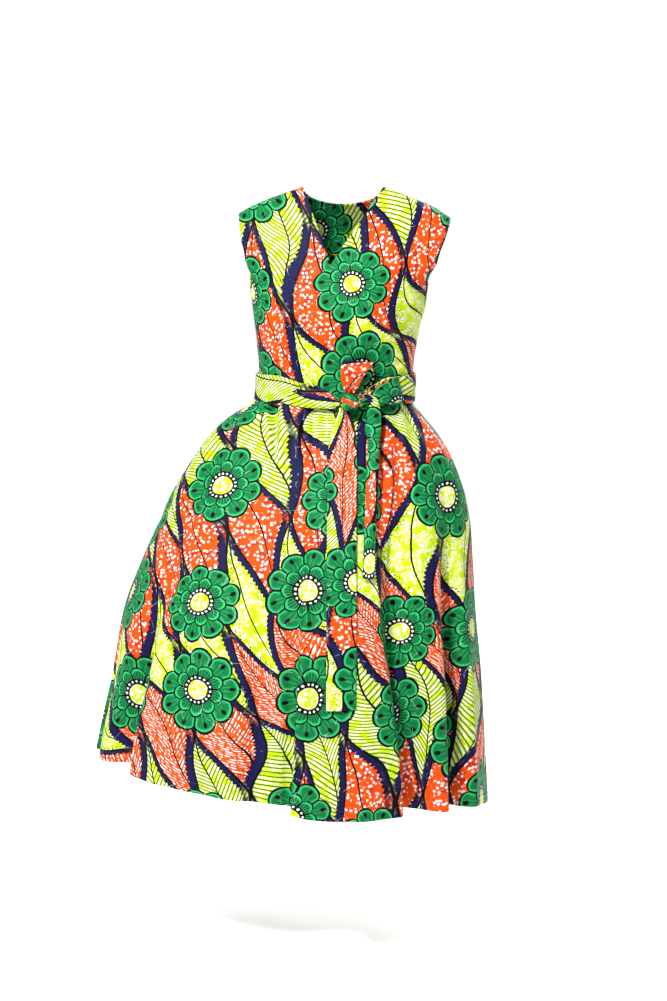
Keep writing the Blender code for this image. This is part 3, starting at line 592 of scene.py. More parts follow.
def print_group():
    """The printed cloth: pointed leaves in lime and orange on navy, under many-petalled green flowers. Its input is the place on the flat cloth, in metres."""
    tree = bpy.data.node_groups.new("leaf_and_flower_print", "ShaderNodeTree")
    tree.interface.new_socket("Cloth", in_out="INPUT", socket_type="NodeSocketVector")
    tree.interface.new_socket("Color", in_out="OUTPUT", socket_type="NodeSocketColor")
    tree.interface.new_socket("Ink", in_out="OUTPUT", socket_type="NodeSocketFloat")
    enter, leave = tree.nodes.new("NodeGroupInput"), tree.nodes.new("NodeGroupOutput")
    Num.tree = tree
    cloth = enter.outputs["Cloth"]
    u0, v0, _ = parts(cloth)

    # Hand-cut edges: the whole design wanders a little
    big = parts(noise(cloth, 7.0, 1.0).outputs["Color"])
    fine = parts(noise(cloth, 110.0, 2.0).outputs["Color"])
    u = u0 + (big[0] - 0.5) * 0.030 + (fine[0] - 0.5) * 0.0022
    v = v0 + (big[1] - 0.5) * 0.030 + (fine[1] - 0.5) * 0.0022
    mottle = Num(noise(cloth, 60.0, 3.0, (3.1, 1.7, 0.0)).outputs["Fac"])
    speck = Num(noise(cloth, 330.0, 1.0, (7.3, 2.9, 0.0)).outputs["Fac"])

    # Leaves
    sweep = parts(noise(cloth, 2.9, 1.0, (9.1, 4.2, 0.0)).outputs["Color"])
    lu = u + (sweep[0] - 0.5) * 0.20
    lv = v + (sweep[1] - 0.5) * 0.20
    c, s = math.cos(LEAF_TURN), math.sin(LEAF_TURN)
    p = lu * c + lv * s
    q = lv * c - lu * s
    p = p + sin(q * (2 * math.pi / 0.47)) * 0.020
    X, Y = p / LEAF_WIDE, q / LEAF_LONG
    sx, sy = sin(X * math.pi), sin(Y * math.pi)
    f = cos(X * math.pi) + cos(Y * math.pi)
    slope = hypot(sx * (math.pi / LEAF_WIDE), sy * (math.pi / LEAF_LONG))
    edge = abs(f) / (slope + 6.0)
    lime_leaf = over(f, 0.0, 0.02)
    # The middle of the leaf that this point is in
    shift = 1.0 - lime_leaf
    row = nearest((Y - shift) * 0.5)
    column = nearest((X - shift) * 0.5)
    lx = (X - shift - column * 2.0) * LEAF_WIDE
    ly = (Y - shift - row * 2.0) * LEAF_LONG
    kind = Num.op("PINGPONG", row + column * 2.0, 1.0)  # 0 or 1 from leaf to leaf
    # Veins
    rib = lx + sin(ly * (math.pi / LEAF_LONG)) * 0.006
    side = Num.op("SIGN", rib)
    vein = ly - abs(rib) * 0.95 + side * 0.0012
    veins = zigzag(vein / 0.0092)
    dark_vein = under(veins, 0.30, 0.25)
    white_vein = both(over(veins, 0.62, 0.25), over(mottle, 0.47, 0.10))
    midrib = under(abs(rib), 0.0013, 0.0006)
    dashes = zigzag(vein / 0.0070)
    across = zigzag(abs(rib) / 0.0100 + mottle * 3.0)
    white_dash = both(over(dashes, 0.50, 0.25), over(across, 0.42, 0.25), over(mottle, 0.40, 0.06))
    dots = cells(cloth, 125.0, 0.85)
    dot = Num(dots.outputs["Distance"])
    white_dot = under(dot, 0.30, 0.10)

    hatch_lime = blend(blend(LIME, WHITE, white_vein), LIME_DEEP, dark_vein * 0.75)
    hatch_lime = blend(hatch_lime, INK, both(under(veins, 0.15, 0.10), over(mottle, 0.34, 0.05)))
    speckled_lime = blend(LIME, LIME_PALE, over(mottle, 0.50, 0.10))
    speckled_lime = blend(speckled_lime, WHITE, both(white_dot, over(mottle, 0.46, 0.05)))
    toward_edge = over(edge, 0.014, 0.016)
    speckled_lime = blend(speckled_lime, INK, both(over(speck, 0.60, 0.05), 1.0 - toward_edge))
    lime = blend(hatch_lime, speckled_lime, over(kind, 0.5, 0.1))

    dash_orange = blend(ORANGE, WHITE, white_dash)
    dash_orange = blend(dash_orange, INK, both(under(veins, 0.14, 0.10), over(mottle, 0.44, 0.05)))
    dot_orange = blend(ORANGE, ORANGE_DEEP, over(mottle, 0.56, 0.06))
    dot_orange = blend(dot_orange, WHITE, both(under(dot, 0.31, 0.12), over(mottle, 0.47, 0.05)))
    dot_orange = blend(dot_orange, INK, both(over(speck, 0.63, 0.04), 1.0 - toward_edge))
    orange = blend(dash_orange, dot_orange, over(kind, 0.5, 0.1))

    colour = blend(orange, lime, lime_leaf)
    colour = blend(colour, INK, midrib)
    # A navy crescent down one side of each leaf, with a toothed inner edge
    teeth = zigzag(q / 0.0085) * 0.070
    g = cos((X + 0.20 + teeth) * math.pi) + cos((Y - 0.05) * math.pi)
    crescent = both(over(f * g * -1.0, 0.0, 0.02), over(edge, 0.0, 0.001))
    colour = blend(colour, NAVY, crescent)
    tooth_edge = abs(g) / (slope + 14.0)
    colour = blend(colour, INK, both(crescent, under(tooth_edge, 0.0010, 0.0008)))
    colour = blend(colour, INK, under(edge, 0.0015, 0.0008))

    # Flowers
    place = joined(u, v)
    flower = cells(place, 1.0 / FLOWER_STEP, 0.32)
    fx, fy, _ = parts(flower.outputs["Position"])
    turn, size, _ = parts(flower.outputs["Color"])
    dx, dy = u - fx, v - fy
    angle = Num.op("ARCTAN2", dy, dx) + turn * 6.28
    out = FLOWER_OUT * (0.90 + size * 0.16)
    r = hypot(dx, dy) / out
    petals = 9
    wide = abs(cos(angle * (petals / 2)))
    narrow = abs(sin(angle * (petals / 2)))
    reach = 0.79 + Num.op("POWER", wide, 0.55) * 0.21
    inner = 0.47 + Num.op("POWER", narrow, 0.60) * 0.17
    fade = reach - r
    inside = over(fade, 0.0, 0.015)
    # Outer petals: a light rim, a deep middle and fine ribs
    ribs = zigzag(angle * (petals * 5 / math.pi / 2))
    grain = zigzag((u0 + v0 * 0.6) / 0.0034)
    green = blend(GREEN, GREEN_DEEP, over(grain, 0.5, 0.5) * 0.8)
    green = blend(green, GREEN_LIGHT, under(fade, 0.075, 0.05))
    split = wide * r * (out / petals * 2.0)
    green = blend(green, GREEN_LIGHT, under(split, 0.0046, 0.0030))
    green = blend(green, GREEN_LIGHT, both(over(ribs, 0.80, 0.20), over(fade, 0.22, 0.10)) * 0.55)
    green = blend(green, INK, both(under(split, 0.0020, 0.0010), over(r, 0.50, 0.02)))
    # a dark drop in each outer petal
    drop = hypot(narrow * r * (out * 2.0 / petals) / 0.0034, (r - 0.83) * out / 0.0052)
    green = blend(green, INK, both(under(drop, 1.0, 0.25), over(wide, 0.5, 0.1)))
    # Inner petals
    in_fade = inner - r
    inner_green = blend(GREEN_DEEP, GREEN_LIGHT, under(in_fade, 0.075, 0.04))
    inner_green = blend(inner_green, GREEN_LIGHT, over(ribs, 0.72, 0.2) * 0.5)
    inner_split = narrow * r * (out / petals * 2.0)
    inner_green = blend(inner_green, INK, both(under(inner_split, 0.0016, 0.0010), over(r, 0.33, 0.02)))
    green = blend(green, inner_green, over(in_fade, 0.0, 0.02))
    green = blend(green, INK, under(abs(in_fade), 0.020, 0.014))
    # Heart: lime with a ring of white seeds
    seeds = zigzag(angle * (18 / math.pi / 2))
    seed = hypot((1.0 - seeds) * r * (out * math.pi / 18) / 0.0021, (r - 0.315) * out / 0.0021)
    heart = blend(LIME, LIME_PALE, over(mottle, 0.5, 0.08))
    heart = blend(heart, WHITE, both(under(dot, 0.36, 0.14), over(mottle, 0.40, 0.05)))
    green = blend(green, INK, under(r, 0.375, 0.014))
    green = blend(green, WHITE, under(seed, 1.0, 0.3))
    green = blend(green, heart, under(r, 0.245, 0.012))
    colour = blend(colour, green, inside)
    colour = blend(colour, INK, under(abs(fade), 0.029, 0.014))

    # Crackle of the wax: hair lines that let the ground through
    crackle = cells(joined(u + (mottle - 0.5) * 0.02, v), 24.0, 1.0, "DISTANCE_TO_EDGE")
    hair = both(under(Num(crackle.outputs["Distance"]), 0.010, 0.010), over(mottle, 0.55, 0.05))
    colour = blend(colour, WHITE, hair * 0.35)
    tree.links.new(colour, leave.inputs["Color"])
    tree.links.new(mottle.value, leave.inputs["Ink"])
    return tree

# ---- Folds that the solids leave out ----

# Upright lines on a panel: x at three drops, how far the fold reaches to the left and right of the line, and how far it stands out (or in, below 0). A short reach on one side is a pleat's step.
Line = namedtuple("Line", "name x1 drop1 x2 drop2 x3 drop3 left right out")
FRONT_SKIRT_LINES = [
    Line("pleat_left_outer", -0.1450, 0.385, -0.1385, 0.405, -0.1310, 0.470, 0.042, 0.0035, 0.0081),
    Line("pleat_left_inner", -0.1075, 0.385, -0.1133, 0.418, -0.1175, 0.540, 0.0035, 0.050, 0.0087),
    Line("pleat_left_bed", -0.1260, 0.385, -0.1250, 0.430, -0.1270, 0.560, 0.012, 0.010, -0.0087),
    Line("pleat_right", 0.0735, 0.385, 0.0750, 0.450, 0.0900, 0.620, 0.0040, 0.034, 0.0072),
    Line("pleat_right_bed", 0.0650, 0.385, 0.0690, 0.440, 0.0800, 0.900, 0.014, 0.012, -0.0110),
    Line("gather_far_left", -0.1560, 0.385, -0.1850, 0.430, -0.2200, 0.520, 0.012, 0.016, 0.0043),
    Line("gather_left", -0.0820, 0.385, -0.0800, 0.430, -0.0850, 0.520, 0.013, 0.010, 0.0038),
    Line("gather_middle_left", -0.0560, 0.385, -0.0545, 0.440, -0.0560, 0.560, 0.010, 0.016, -0.0049),
    Line("gather_middle", -0.0330, 0.385, -0.0350, 0.420, -0.0370, 0.480, 0.010, 0.008, -0.0026),
    Line("gather_right", 0.0980, 0.385, 0.1070, 0.430, 0.1230, 0.540, 0.010, 0.014, 0.0046),
    Line("gather_right_soft", 0.1120, 0.385, 0.1250, 0.420, 0.1520, 0.500, 0.009, 0.009, -0.0038),
    Line("ridge_middle", -0.0562, 0.540, -0.0600, 0.720, -0.0816, 1.300, 0.010, 0.014, 0.0090),
    Line("ridge_left_trough", -0.0740, 0.540, -0.0800, 0.740, -0.1020, 1.300, 0.022, 0.012, -0.0087),
    Line("soft_left", -0.2100, 0.520, -0.2550, 0.760, -0.3000, 1.300, 0.040, 0.046, 0.0094),
    Line("soft_left_inner", -0.1300, 0.640, -0.1500, 0.860, -0.1850, 1.300, 0.034, 0.040, -0.0087),
    Line("soft_middle", 0.0250, 0.700, 0.0300, 0.900, 0.0350, 1.300, 0.030, 0.034, 0.0072),
    Line("soft_right", 0.1560, 0.560, 0.1720, 0.740, 0.1850, 1.300, 0.022, 0.026, 0.0075),
    Line("drag_left", -0.2450, 0.520, -0.3050, 0.640, -0.3450, 0.820, 0.020, 0.018, -0.0049),
    Line("deep_left", -0.3450, 0.700, -0.3750, 0.880, -0.4250, 1.300, 0.016, 0.012, -0.0090),
    Line("deep_middle_right", 0.0900, 0.520, 0.0980, 0.800, 0.1280, 1.300, 0.013, 0.010, -0.0130),
    Line("deep_right", 0.1880, 0.560, 0.2020, 0.800, 0.2170, 1.300, 0.019, 0.018, -0.0200),
    Line("lip_right", 0.2120, 0.620, 0.2260, 0.820, 0.2420, 1.300, 0.008, 0.020, 0.0070),
]
BACK_SKIRT_LINES = [
    Line("pleat_one", -0.1010, 0.385, -0.1080, 0.440, -0.1300, 0.620, 0.036, 0.0040, 0.0078),
    Line("pleat_two", -0.0720, 0.385, -0.0740, 0.440, -0.0800, 0.600, 0.0040, 0.034, 0.0075),
    Line("pleat_bed", -0.0860, 0.385, -0.0900, 0.440, -0.1000, 0.600, 0.012, 0.010, -0.0080),
    Line("pleat_three", 0.0400, 0.385, 0.0430, 0.440, 0.0500, 0.620, 0.034, 0.0040, 0.0078),
    Line("pleat_four", 0.0690, 0.385, 0.0760, 0.440, 0.0950, 0.600, 0.0040, 0.034, 0.0072),
    Line("pleat_bed_right", 0.0550, 0.385, 0.0600, 0.440, 0.0700, 0.600, 0.012, 0.010, -0.0080),
    Line("gather_one", -0.1360, 0.385, -0.1560, 0.440, -0.1900, 0.560, 0.012, 0.014, 0.0041),
    Line("gather_two", -0.0420, 0.385, -0.0430, 0.430, -0.0470, 0.520, 0.010, 0.012, -0.0041),
    Line("gather_three", -0.0120, 0.385, -0.0120, 0.440, -0.0130, 0.560, 0.013, 0.010, 0.0043),
    Line("gather_four", 0.0140, 0.385, 0.0150, 0.430, 0.0170, 0.500, 0.010, 0.010, -0.0035),
    Line("gather_five", 0.1030, 0.385, 0.1200, 0.430, 0.1500, 0.540, 0.012, 0.010, 0.0043),
    Line("soft_one", -0.2600, 0.560, -0.3100, 0.760, -0.3500, 1.300, 0.040, 0.040, 0.0087),
    Line("soft_two", -0.1500, 0.600, -0.1700, 0.800, -0.2000, 1.300, 0.034, 0.038, -0.0087),
    Line("soft_three", -0.0300, 0.620, -0.0330, 0.820, -0.0400, 1.300, 0.034, 0.030, 0.0087),
    Line("soft_four", 0.1200, 0.620, 0.1350, 0.820, 0.1500, 1.300, 0.030, 0.034, 0.0080),
]

# Short creases and darts of the bodice, any way round: from one point to another, half width, and how far out or in
Crease = namedtuple("Crease", "name x1 drop1 x2 drop2 wide out")
FRONT_CREASES = [
    Crease("waist_dart_left", -0.1203, 0.262, -0.1120, 0.400, 0.0016, -0.0013),
    Crease("waist_dart_right", 0.0730, 0.258, 0.0794, 0.400, 0.0016, -0.0013),
    Crease("bust_dart_left", -0.1700, 0.1846, -0.1230, 0.1665, 0.0016, -0.0012),
    Crease("bust_dart_right", 0.1500, 0.2510, 0.1165, 0.2110, 0.0016, -0.0012),
    Crease("drag_upper", -0.0150, 0.1480, 0.0300, 0.2050, 0.0060, 0.0031),
    Crease("drag_upper_shade", -0.0080, 0.1420, 0.0380, 0.1980, 0.0055, -0.0031),
    Crease("drag_lower", 0.0180, 0.2060, 0.0540, 0.2620, 0.0060, 0.0027),
    Crease("drag_lower_shade", 0.0250, 0.2000, 0.0600, 0.2560, 0.0050, -0.0024),
    Crease("from_bust_left", -0.1080, 0.2560, -0.0850, 0.3500, 0.0090, 0.0024),
    Crease("from_bust_middle", -0.0500, 0.2900, -0.0420, 0.3800, 0.0090, -0.0031),
    Crease("from_bust_right", 0.0450, 0.3000, 0.0380, 0.3800, 0.0080, -0.0026),
    Crease("waist_pull_left", -0.1400, 0.3260, -0.0900, 0.3450, 0.0050, -0.0024),
    Crease("waist_pull_left_low", -0.1380, 0.3360, -0.0960, 0.3560, 0.0040, 0.0022),
    Crease("waist_pull_right", 0.1180, 0.3120, 0.0860, 0.3300, 0.0050, -0.0020),
    Crease("underarm_left", -0.1580, 0.2060, -0.1260, 0.2350, 0.0060, -0.0024),
    Crease("underarm_right", 0.1520, 0.2160, 0.1260, 0.2560, 0.0060, 0.0022),
    Crease("shoulder_left", -0.1600, 0.0700, -0.1300, 0.1300, 0.0080, -0.0020),
    Crease("shoulder_right", 0.1550, 0.0750, 0.1350, 0.1400, 0.0080, -0.0020),
]
BACK_CREASES = [
    Crease("waist_dart_left", -0.0950, 0.220, -0.0880, 0.400, 0.0016, -0.0013),
    Crease("waist_dart_right", 0.0720, 0.220, 0.0660, 0.400, 0.0016, -0.0013),
    Crease("shoulder_dart_left", -0.1150, 0.040, -0.1080, 0.120, 0.0016, -0.0011),
    Crease("shoulder_dart_right", 0.1150, 0.042, 0.1080, 0.122, 0.0016, -0.0011),
    Crease("across_one", -0.1100, 0.2900, -0.0300, 0.3120, 0.0080, 0.0027),
    Crease("across_two", 0.1000, 0.2850, 0.0200, 0.3060, 0.0080, 0.0027),
    Crease("across_three", -0.0950, 0.3140, -0.0100, 0.3300, 0.0070, -0.0027),
    Crease("across_four", 0.0850, 0.3120, 0.0050, 0.3280, 0.0070, -0.0026),
    Crease("blade_left", -0.1000, 0.1300, -0.0800, 0.2200, 0.0120, 0.0024),
    Crease("blade_right", 0.0950, 0.1300, 0.0780, 0.2200, 0.0120, 0.0024),
    Crease("middle", -0.0050, 0.0600, -0.0030, 0.2400, 0.0140, -0.0024),
]


def lines_out(lines, x, drop):
    """How far the upright folds move the cloth out at x and drop."""
    total = np.zeros(np.broadcast(x, drop).shape)
    for line in lines:
        at = [line.drop1, line.drop2, line.drop3]
        path = np.interp(drop, at, [line.x1, line.x2, line.x3])
        away = x - path
        u = np.clip(away / np.where(away < 0, line.left, line.right), -1, 1)
        t = (drop - line.drop1) / (line.drop3 - line.drop1)
        along = ramp(t / 0.07) * (1 - ramp((t - 0.35) / 0.65))
        if line.drop3 > 1.2:  # runs on to the hem
            along = ramp(t / 0.45)
        total = total + line.out * (1 - ramp(np.abs(u))) * along * (np.abs(u) < 1)
    return total


def creases_out(creases, x, drop):
    total = np.zeros(np.broadcast(x, drop).shape)
    for crease in creases:
        dx, dd = crease.x2 - crease.x1, crease.drop2 - crease.drop1
        t = np.clip(((x - crease.x1) * dx + (drop - crease.drop1) * dd) / (dx * dx + dd * dd), 0, 1)
        away = np.hypot(x - crease.x1 - t * dx, drop - crease.drop1 - t * dd)
        total = total + crease.out * np.exp(-((away / crease.wide) ** 2)) * np.sin(np.pi * (0.06 + 0.88 * t)) ** 0.5
    return total


def unevenness(x, drop, size, seed):
    """Faint waves of worn cloth, longer down than across."""
    chance = np.random.default_rng(seed)
    total = np.zeros(np.broadcast(x, drop).shape)
    for across, down, share in ((16, 5, 0.45), (27, 9, 0.30), (45, 17, 0.18), (80, 34, 0.10)):
        for _ in range(3):
            a, b, phase = chance.uniform(0.7, 1.3, 3)
            total = total + share / 3 * np.sin(2 * np.pi * (across * a * x / 2 + down * b * drop / 2) + 9 * phase)
    return size * total


# ---- Cloth shells ----


def grid_quads(rows, columns, first=0, flip=False):
    r, c = np.meshgrid(np.arange(rows - 1), np.arange(columns - 1), indexing="ij")
    a = (first + r * columns + c).ravel()
    quads = np.stack([a, a + 1, a + columns + 1, a + columns], 1)
    return quads[:, ::-1] if flip else quads


def normals_of(points, quads):
    a, b, c, d = (points[quads[:, i]] for i in range(4))
    face = np.cross(c - a, d - b)
    out = np.zeros_like(points)
    for i in range(4):
        np.add.at(out, quads[:, i], face)
    return out / np.maximum(np.linalg.norm(out, axis=1), 1e-12)[:, None]


def mesh_piece(name, points, faces, cloth_at, material):
    """A smooth mesh from points and a list of face arrays, each of one size, with the place on the flat cloth at each point."""
    mesh = bpy.data.meshes.new(name)
    mesh.vertices.add(len(points))
    mesh.vertices.foreach_set("co", np.asarray(points, np.float32).ravel())
    corners = np.concatenate([f.ravel() for f in faces])
    sizes = np.concatenate([np.full(len(f), f.shape[1]) for f in faces])
    starts = np.concatenate([[0], np.cumsum(sizes)[:-1]])
    mesh.loops.add(len(corners))
    mesh.loops.foreach_set("vertex_index", corners.astype(np.int32))
    mesh.polygons.add(len(sizes))
    mesh.polygons.foreach_set("loop_start", starts.astype(np.int32))
    mesh.polygons.foreach_set("loop_total", sizes.astype(np.int32))
    mesh.polygons.foreach_set("use_smooth", np.ones(len(sizes), bool))
    layer = mesh.uv_layers.new(name="cloth")
    layer.data.foreach_set("uv", np.asarray(cloth_at, np.float32)[corners].ravel())
    mesh.materials.append(material)
    mesh.update(calc_edges=True)
    mesh.validate()
    made = bpy.data.objects.new(name, mesh)
    bpy.context.scene.collection.objects.link(made)
    return made


def shell(name, points, quads, cloth_at, wall, material):
    """A closed thin shell round a middle surface, with its outer face, its inner face and a rounded edge."""
    count = len(points)
    wall = np.broadcast_to(np.asarray(wall, float), (count,))
    normal = normals_of(points, quads)
    outer = points + normal * wall[:, None] / 2
    inner = points - normal * wall[:, None] / 2
    edges = np.concatenate([quads[:, [i, (i + 1) % 4]] for i in range(4)])
    low_first = np.sort(edges, 1)
    _, index, times = np.unique(low_first[:, 0] * count + low_first[:, 1], return_index=True, return_counts=True)
    border = edges[index[times == 1]]
    away = np.zeros_like(points)
    for i in (0, 1):
        np.add.at(away, border[:, i], np.cross(points[border[:, 1]] - points[border[:, 0]], normal[border[:, i]]))
    rim_of = np.unique(border)
    place = np.zeros(count, int)
    place[rim_of] = np.arange(len(rim_of))
    away = away[rim_of] / np.maximum(np.linalg.norm(away[rim_of], axis=1), 1e-12)[:, None]
    rim = points[rim_of] + away * wall[rim_of, None] * 0.42
    a, b = border[:, 0], border[:, 1]
    ra, rb = 2 * count + place[a], 2 * count + place[b]
    faces = [
        quads,
        quads[:, ::-1] + count,
        np.stack([b, a, ra, rb], 1),
        np.stack([a + count, b + count, rb, ra], 1),
    ]
    return mesh_piece(
        name,
        np.concatenate([outer, inner, rim]),
        [np.concatenate(faces)],
        np.concatenate([cloth_at, cloth_at, cloth_at[rim_of]]),
        material,
    )


def lengths(grid, axis):
    """Running length along a grid's rows or columns."""
    step = np.linalg.norm(np.diff(grid, axis=axis), axis=-1)
    start = np.zeros_like(np.take(step, [0], axis))
    return np.concatenate([start, np.cumsum(step, axis)], axis)


STITCH_LONG, STITCH_STEP, STITCH_THICK = 0.0024, 0.0034, 0.00042


def stitches(name, lines, material):
    """One joined mesh of small sewn stitches along lines of (points, normals)."""
    ring = np.array([(-0.5, 0, 0), (-0.3, 0.5, 0), (-0.3, 0, 0.55), (-0.3, -0.5, 0), (-0.3, 0, -0.5),
                     (0.3, 0.5, 0), (0.3, 0, 0.55), (0.3, -0.5, 0), (0.3, 0, -0.5), (0.5, 0, 0)])
    triangles = np.array([(0, 2, 1), (0, 3, 2), (0, 4, 3), (0, 1, 4), (9, 5, 6), (9, 6, 7), (9, 7, 8), (9, 8, 5)])
    sides = np.array([(1, 2, 6, 5), (2, 3, 7, 6), (3, 4, 8, 7), (4, 1, 5, 8)])
    points, faces3, faces4 = [], [], []
    for path, normal in lines:
        run = lengths(path[None], 1)[0]
        for at in np.arange(STITCH_STEP, run[-1] - STITCH_STEP, STITCH_STEP):
            here = np.array([np.interp(at, run, path[:, i]) for i in range(3)])
            ahead = np.array([np.interp(at + 0.001, run, path[:, i]) for i in range(3)])
            up = np.array([np.interp(at, run, normal[:, i]) for i in range(3)])
            up /= np.linalg.norm(up)
            forth = (ahead - here) / max(np.linalg.norm(ahead - here), 1e-9)
            side = np.cross(up, forth)
            first = 10 * len(points)
            points.append(
                here + ring[:, :1] * STITCH_LONG * forth + ring[:, 1:2] * STITCH_THICK * side + ring[:, 2:] * STITCH_THICK * up
            )
            faces3.append(triangles + first)
            faces4.append(sides + first)
    points = np.concatenate(points)
    return mesh_piece(
        name, points, [np.concatenate(faces3), np.concatenate(faces4)], points[:, [0, 2]], material
    )


# ---- Materials ----


def cloth_material(name, move, turn=0.0, soft=0.58):
    """Waxed printed cotton. move and turn place the print on this piece."""
    material = bpy.data.materials.new(name)
    material.use_nodes = True
    tree = material.node_tree
    shader = tree.nodes["Principled BSDF"]
    place = tree.nodes.new("ShaderNodeUVMap")
    place.uv_map = "cloth"
    mapping = tree.nodes.new("ShaderNodeMapping")
    mapping.inputs["Location"].default_value = (*move, 0.0)
    mapping.inputs["Rotation"].default_value = (0.0, 0.0, math.radians(turn))
    tree.links.new(place.outputs[0], mapping.inputs["Vector"])
    printed = tree.nodes.new("ShaderNodeGroup")
    printed.node_tree = PRINT
    tree.links.new(mapping.outputs[0], printed.inputs["Cloth"])
    Num.tree = tree
    # Slight change of depth over the cloth, and the yarns' own
    drift = Num(noise(place.outputs[0], 9.0, 3.0).outputs["Fac"])
    yarn = Num(noise(place.outputs[0], 900.0, 1.0, (2.0, 5.0, 0.0)).outputs["Fac"])
    depth = (drift - 0.5) * 0.16 + (yarn - 0.5) * 0.14 + PRINT_DEPTH
    tone = tree.nodes.new("ShaderNodeVectorMath")
    tone.operation = "SCALE"
    tree.links.new(printed.outputs["Color"], tone.inputs[0])
    tree.links.new(depth.value, tone.inputs["Scale"])
    tree.links.new(tone.outputs[0], shader.inputs["Base Color"])
    # Plain weave, 0.42 mm between yarns, and the wax's faint unevenness
    x, y, _ = parts(place.outputs[0])
    weave = sin(x * (2 * math.pi / 0.00084)) * sin(y * (2 * math.pi / 0.00084))
    bump = tree.nodes.new("ShaderNodeBump")
    bump.inputs["Strength"].default_value = 0.35
    bump.inputs["Distance"].default_value = 0.00012
    tree.links.new((weave + (yarn - 0.5) * 1.2).value, bump.inputs["Height"])
    crumple = tree.nodes.new("ShaderNodeBump")
    crumple.inputs["Strength"].default_value = 0.30
    crumple.inputs["Distance"].default_value = 0.0016
    tree.links.new(noise(place.outputs[0], 38.0, 3.0, (4.0, 1.0, 0.0)).outputs["Fac"], crumple.inputs["Height"])
    tree.links.new(bump.outputs[0], crumple.inputs["Normal"])
    tree.links.new(crumple.outputs[0], shader.inputs["Normal"])
    tree.links.new((Num(printed.outputs["Ink"]) * -0.16 + (soft + 0.08)).value, shader.inputs["Roughness"])
    shader.inputs["Sheen Weight"].default_value = 0.02
    shader.inputs["Sheen Roughness"].default_value = 0.4
    shader.inputs["Specular IOR Level"].default_value = 0.10
    return material


def thread_material():
    material = bpy.data.materials.new("sewing_thread")
    material.use_nodes = True
    tree = material.node_tree
    shader = tree.nodes["Principled BSDF"]
    place = tree.nodes.new("ShaderNodeUVMap")
    place.uv_map = "cloth"
    Num.tree = tree
    twist = Num(noise(place.outputs[0], 1500.0, 2.0).outputs["Fac"])
    tree.links.new(blend(lin(24, 60, 44), lin(44, 96, 70), over(twist, 0.5, 0.3)), shader.inputs["Base Color"])
    bump = tree.nodes.new("ShaderNodeBump")
    bump.inputs["Strength"].default_value = 0.4
    bump.inputs["Distance"].default_value = 0.0001
    tree.links.new(twist.value, bump.inputs["Height"])
    tree.links.new(bump.outputs[0], shader.inputs["Normal"])
    shader.inputs["Roughness"].default_value = 0.55
    shader.inputs["Sheen Weight"].default_value = 0.1
    return material


PRINT_DEPTH = 0.45
PRINT = print_group()
SKIRT_CLOTH = cloth_material("printed_cotton_skirt_front", (0.0, 0.0))
SKIRT_BACK_CLOTH = cloth_material("printed_cotton_skirt_back", (3.1, 0.4))
BODICE_CLOTH = cloth_material("printed_cotton_bodice_front", (1.37, 0.02))
BODICE_BACK_CLOTH = cloth_material("printed_cotton_bodice_back", (5.2, 0.7))
POCKET_CLOTH = cloth_material("printed_cotton_pockets", (2.2, 1.3))
BAND_CLOTH = cloth_material("printed_cotton_belt_band", (0.479, 2.287), 202.3)
STRETCH_CLOTH = cloth_material("printed_cotton_belt_front", (0.308, 1.473), 14.5)
KNOT_CLOTH = cloth_material("printed_cotton_knot", (0.0, 0.0))
UP_CLOTH = cloth_material("printed_cotton_bow_up", (0.737, 1.517), 78.5)
RIGHT_CLOTH = cloth_material("printed_cotton_bow_right", (0.351, 1.701), -90)
TAIL_CLOTH = cloth_material("printed_cotton_tail_long", (0.493, 1.890), 205.9)
FOLDED_CLOTH = cloth_material("printed_cotton_tail_short", (0.148, 1.515), 197.5)
THREAD = thread_material()


# ---- Bodice ----


def arc_table():
    """Length round the bodice from angle 0, at a grid of drops and angles."""
    drops, angles = np.linspace(0, WAIST, 60), np.linspace(-90, 90, 181)
    tables = []
    for back in (False, True):
        x, y = torso(angles[None, :], drops[:, None], back)
        run = lengths(np.stack([x, y, 0 * x], -1), 1)
        tables.append(run - run[:, 90:91])
    return drops, angles, tables


ARC_DROPS, ARC_ANGLES, ARC_TABLES = arc_table()


def arc_at(angle, drop, back):
    table = ARC_TABLES[back]
    i = np.clip(drop / WAIST * 59, 0, 58.999)
    j = np.clip(angle + 90, 0, 179.999)
    i0, j0 = i.astype(int), j.astype(int)
    fi, fj = i - i0, j - j0
    return (
        table[i0, j0] * (1 - fi) * (1 - fj) + table[i0 + 1, j0] * fi * (1 - fj)
        + table[i0, j0 + 1] * (1 - fi) * fj + table[i0 + 1, j0 + 1] * fi * fj
    )


def angle_at(points, back):
    drop = -points[..., 2]
    return angle_of(points[..., 0], drop)


BODICE_UP, BODICE_DOWN, BODICE_COLUMNS = 64, 72, 70


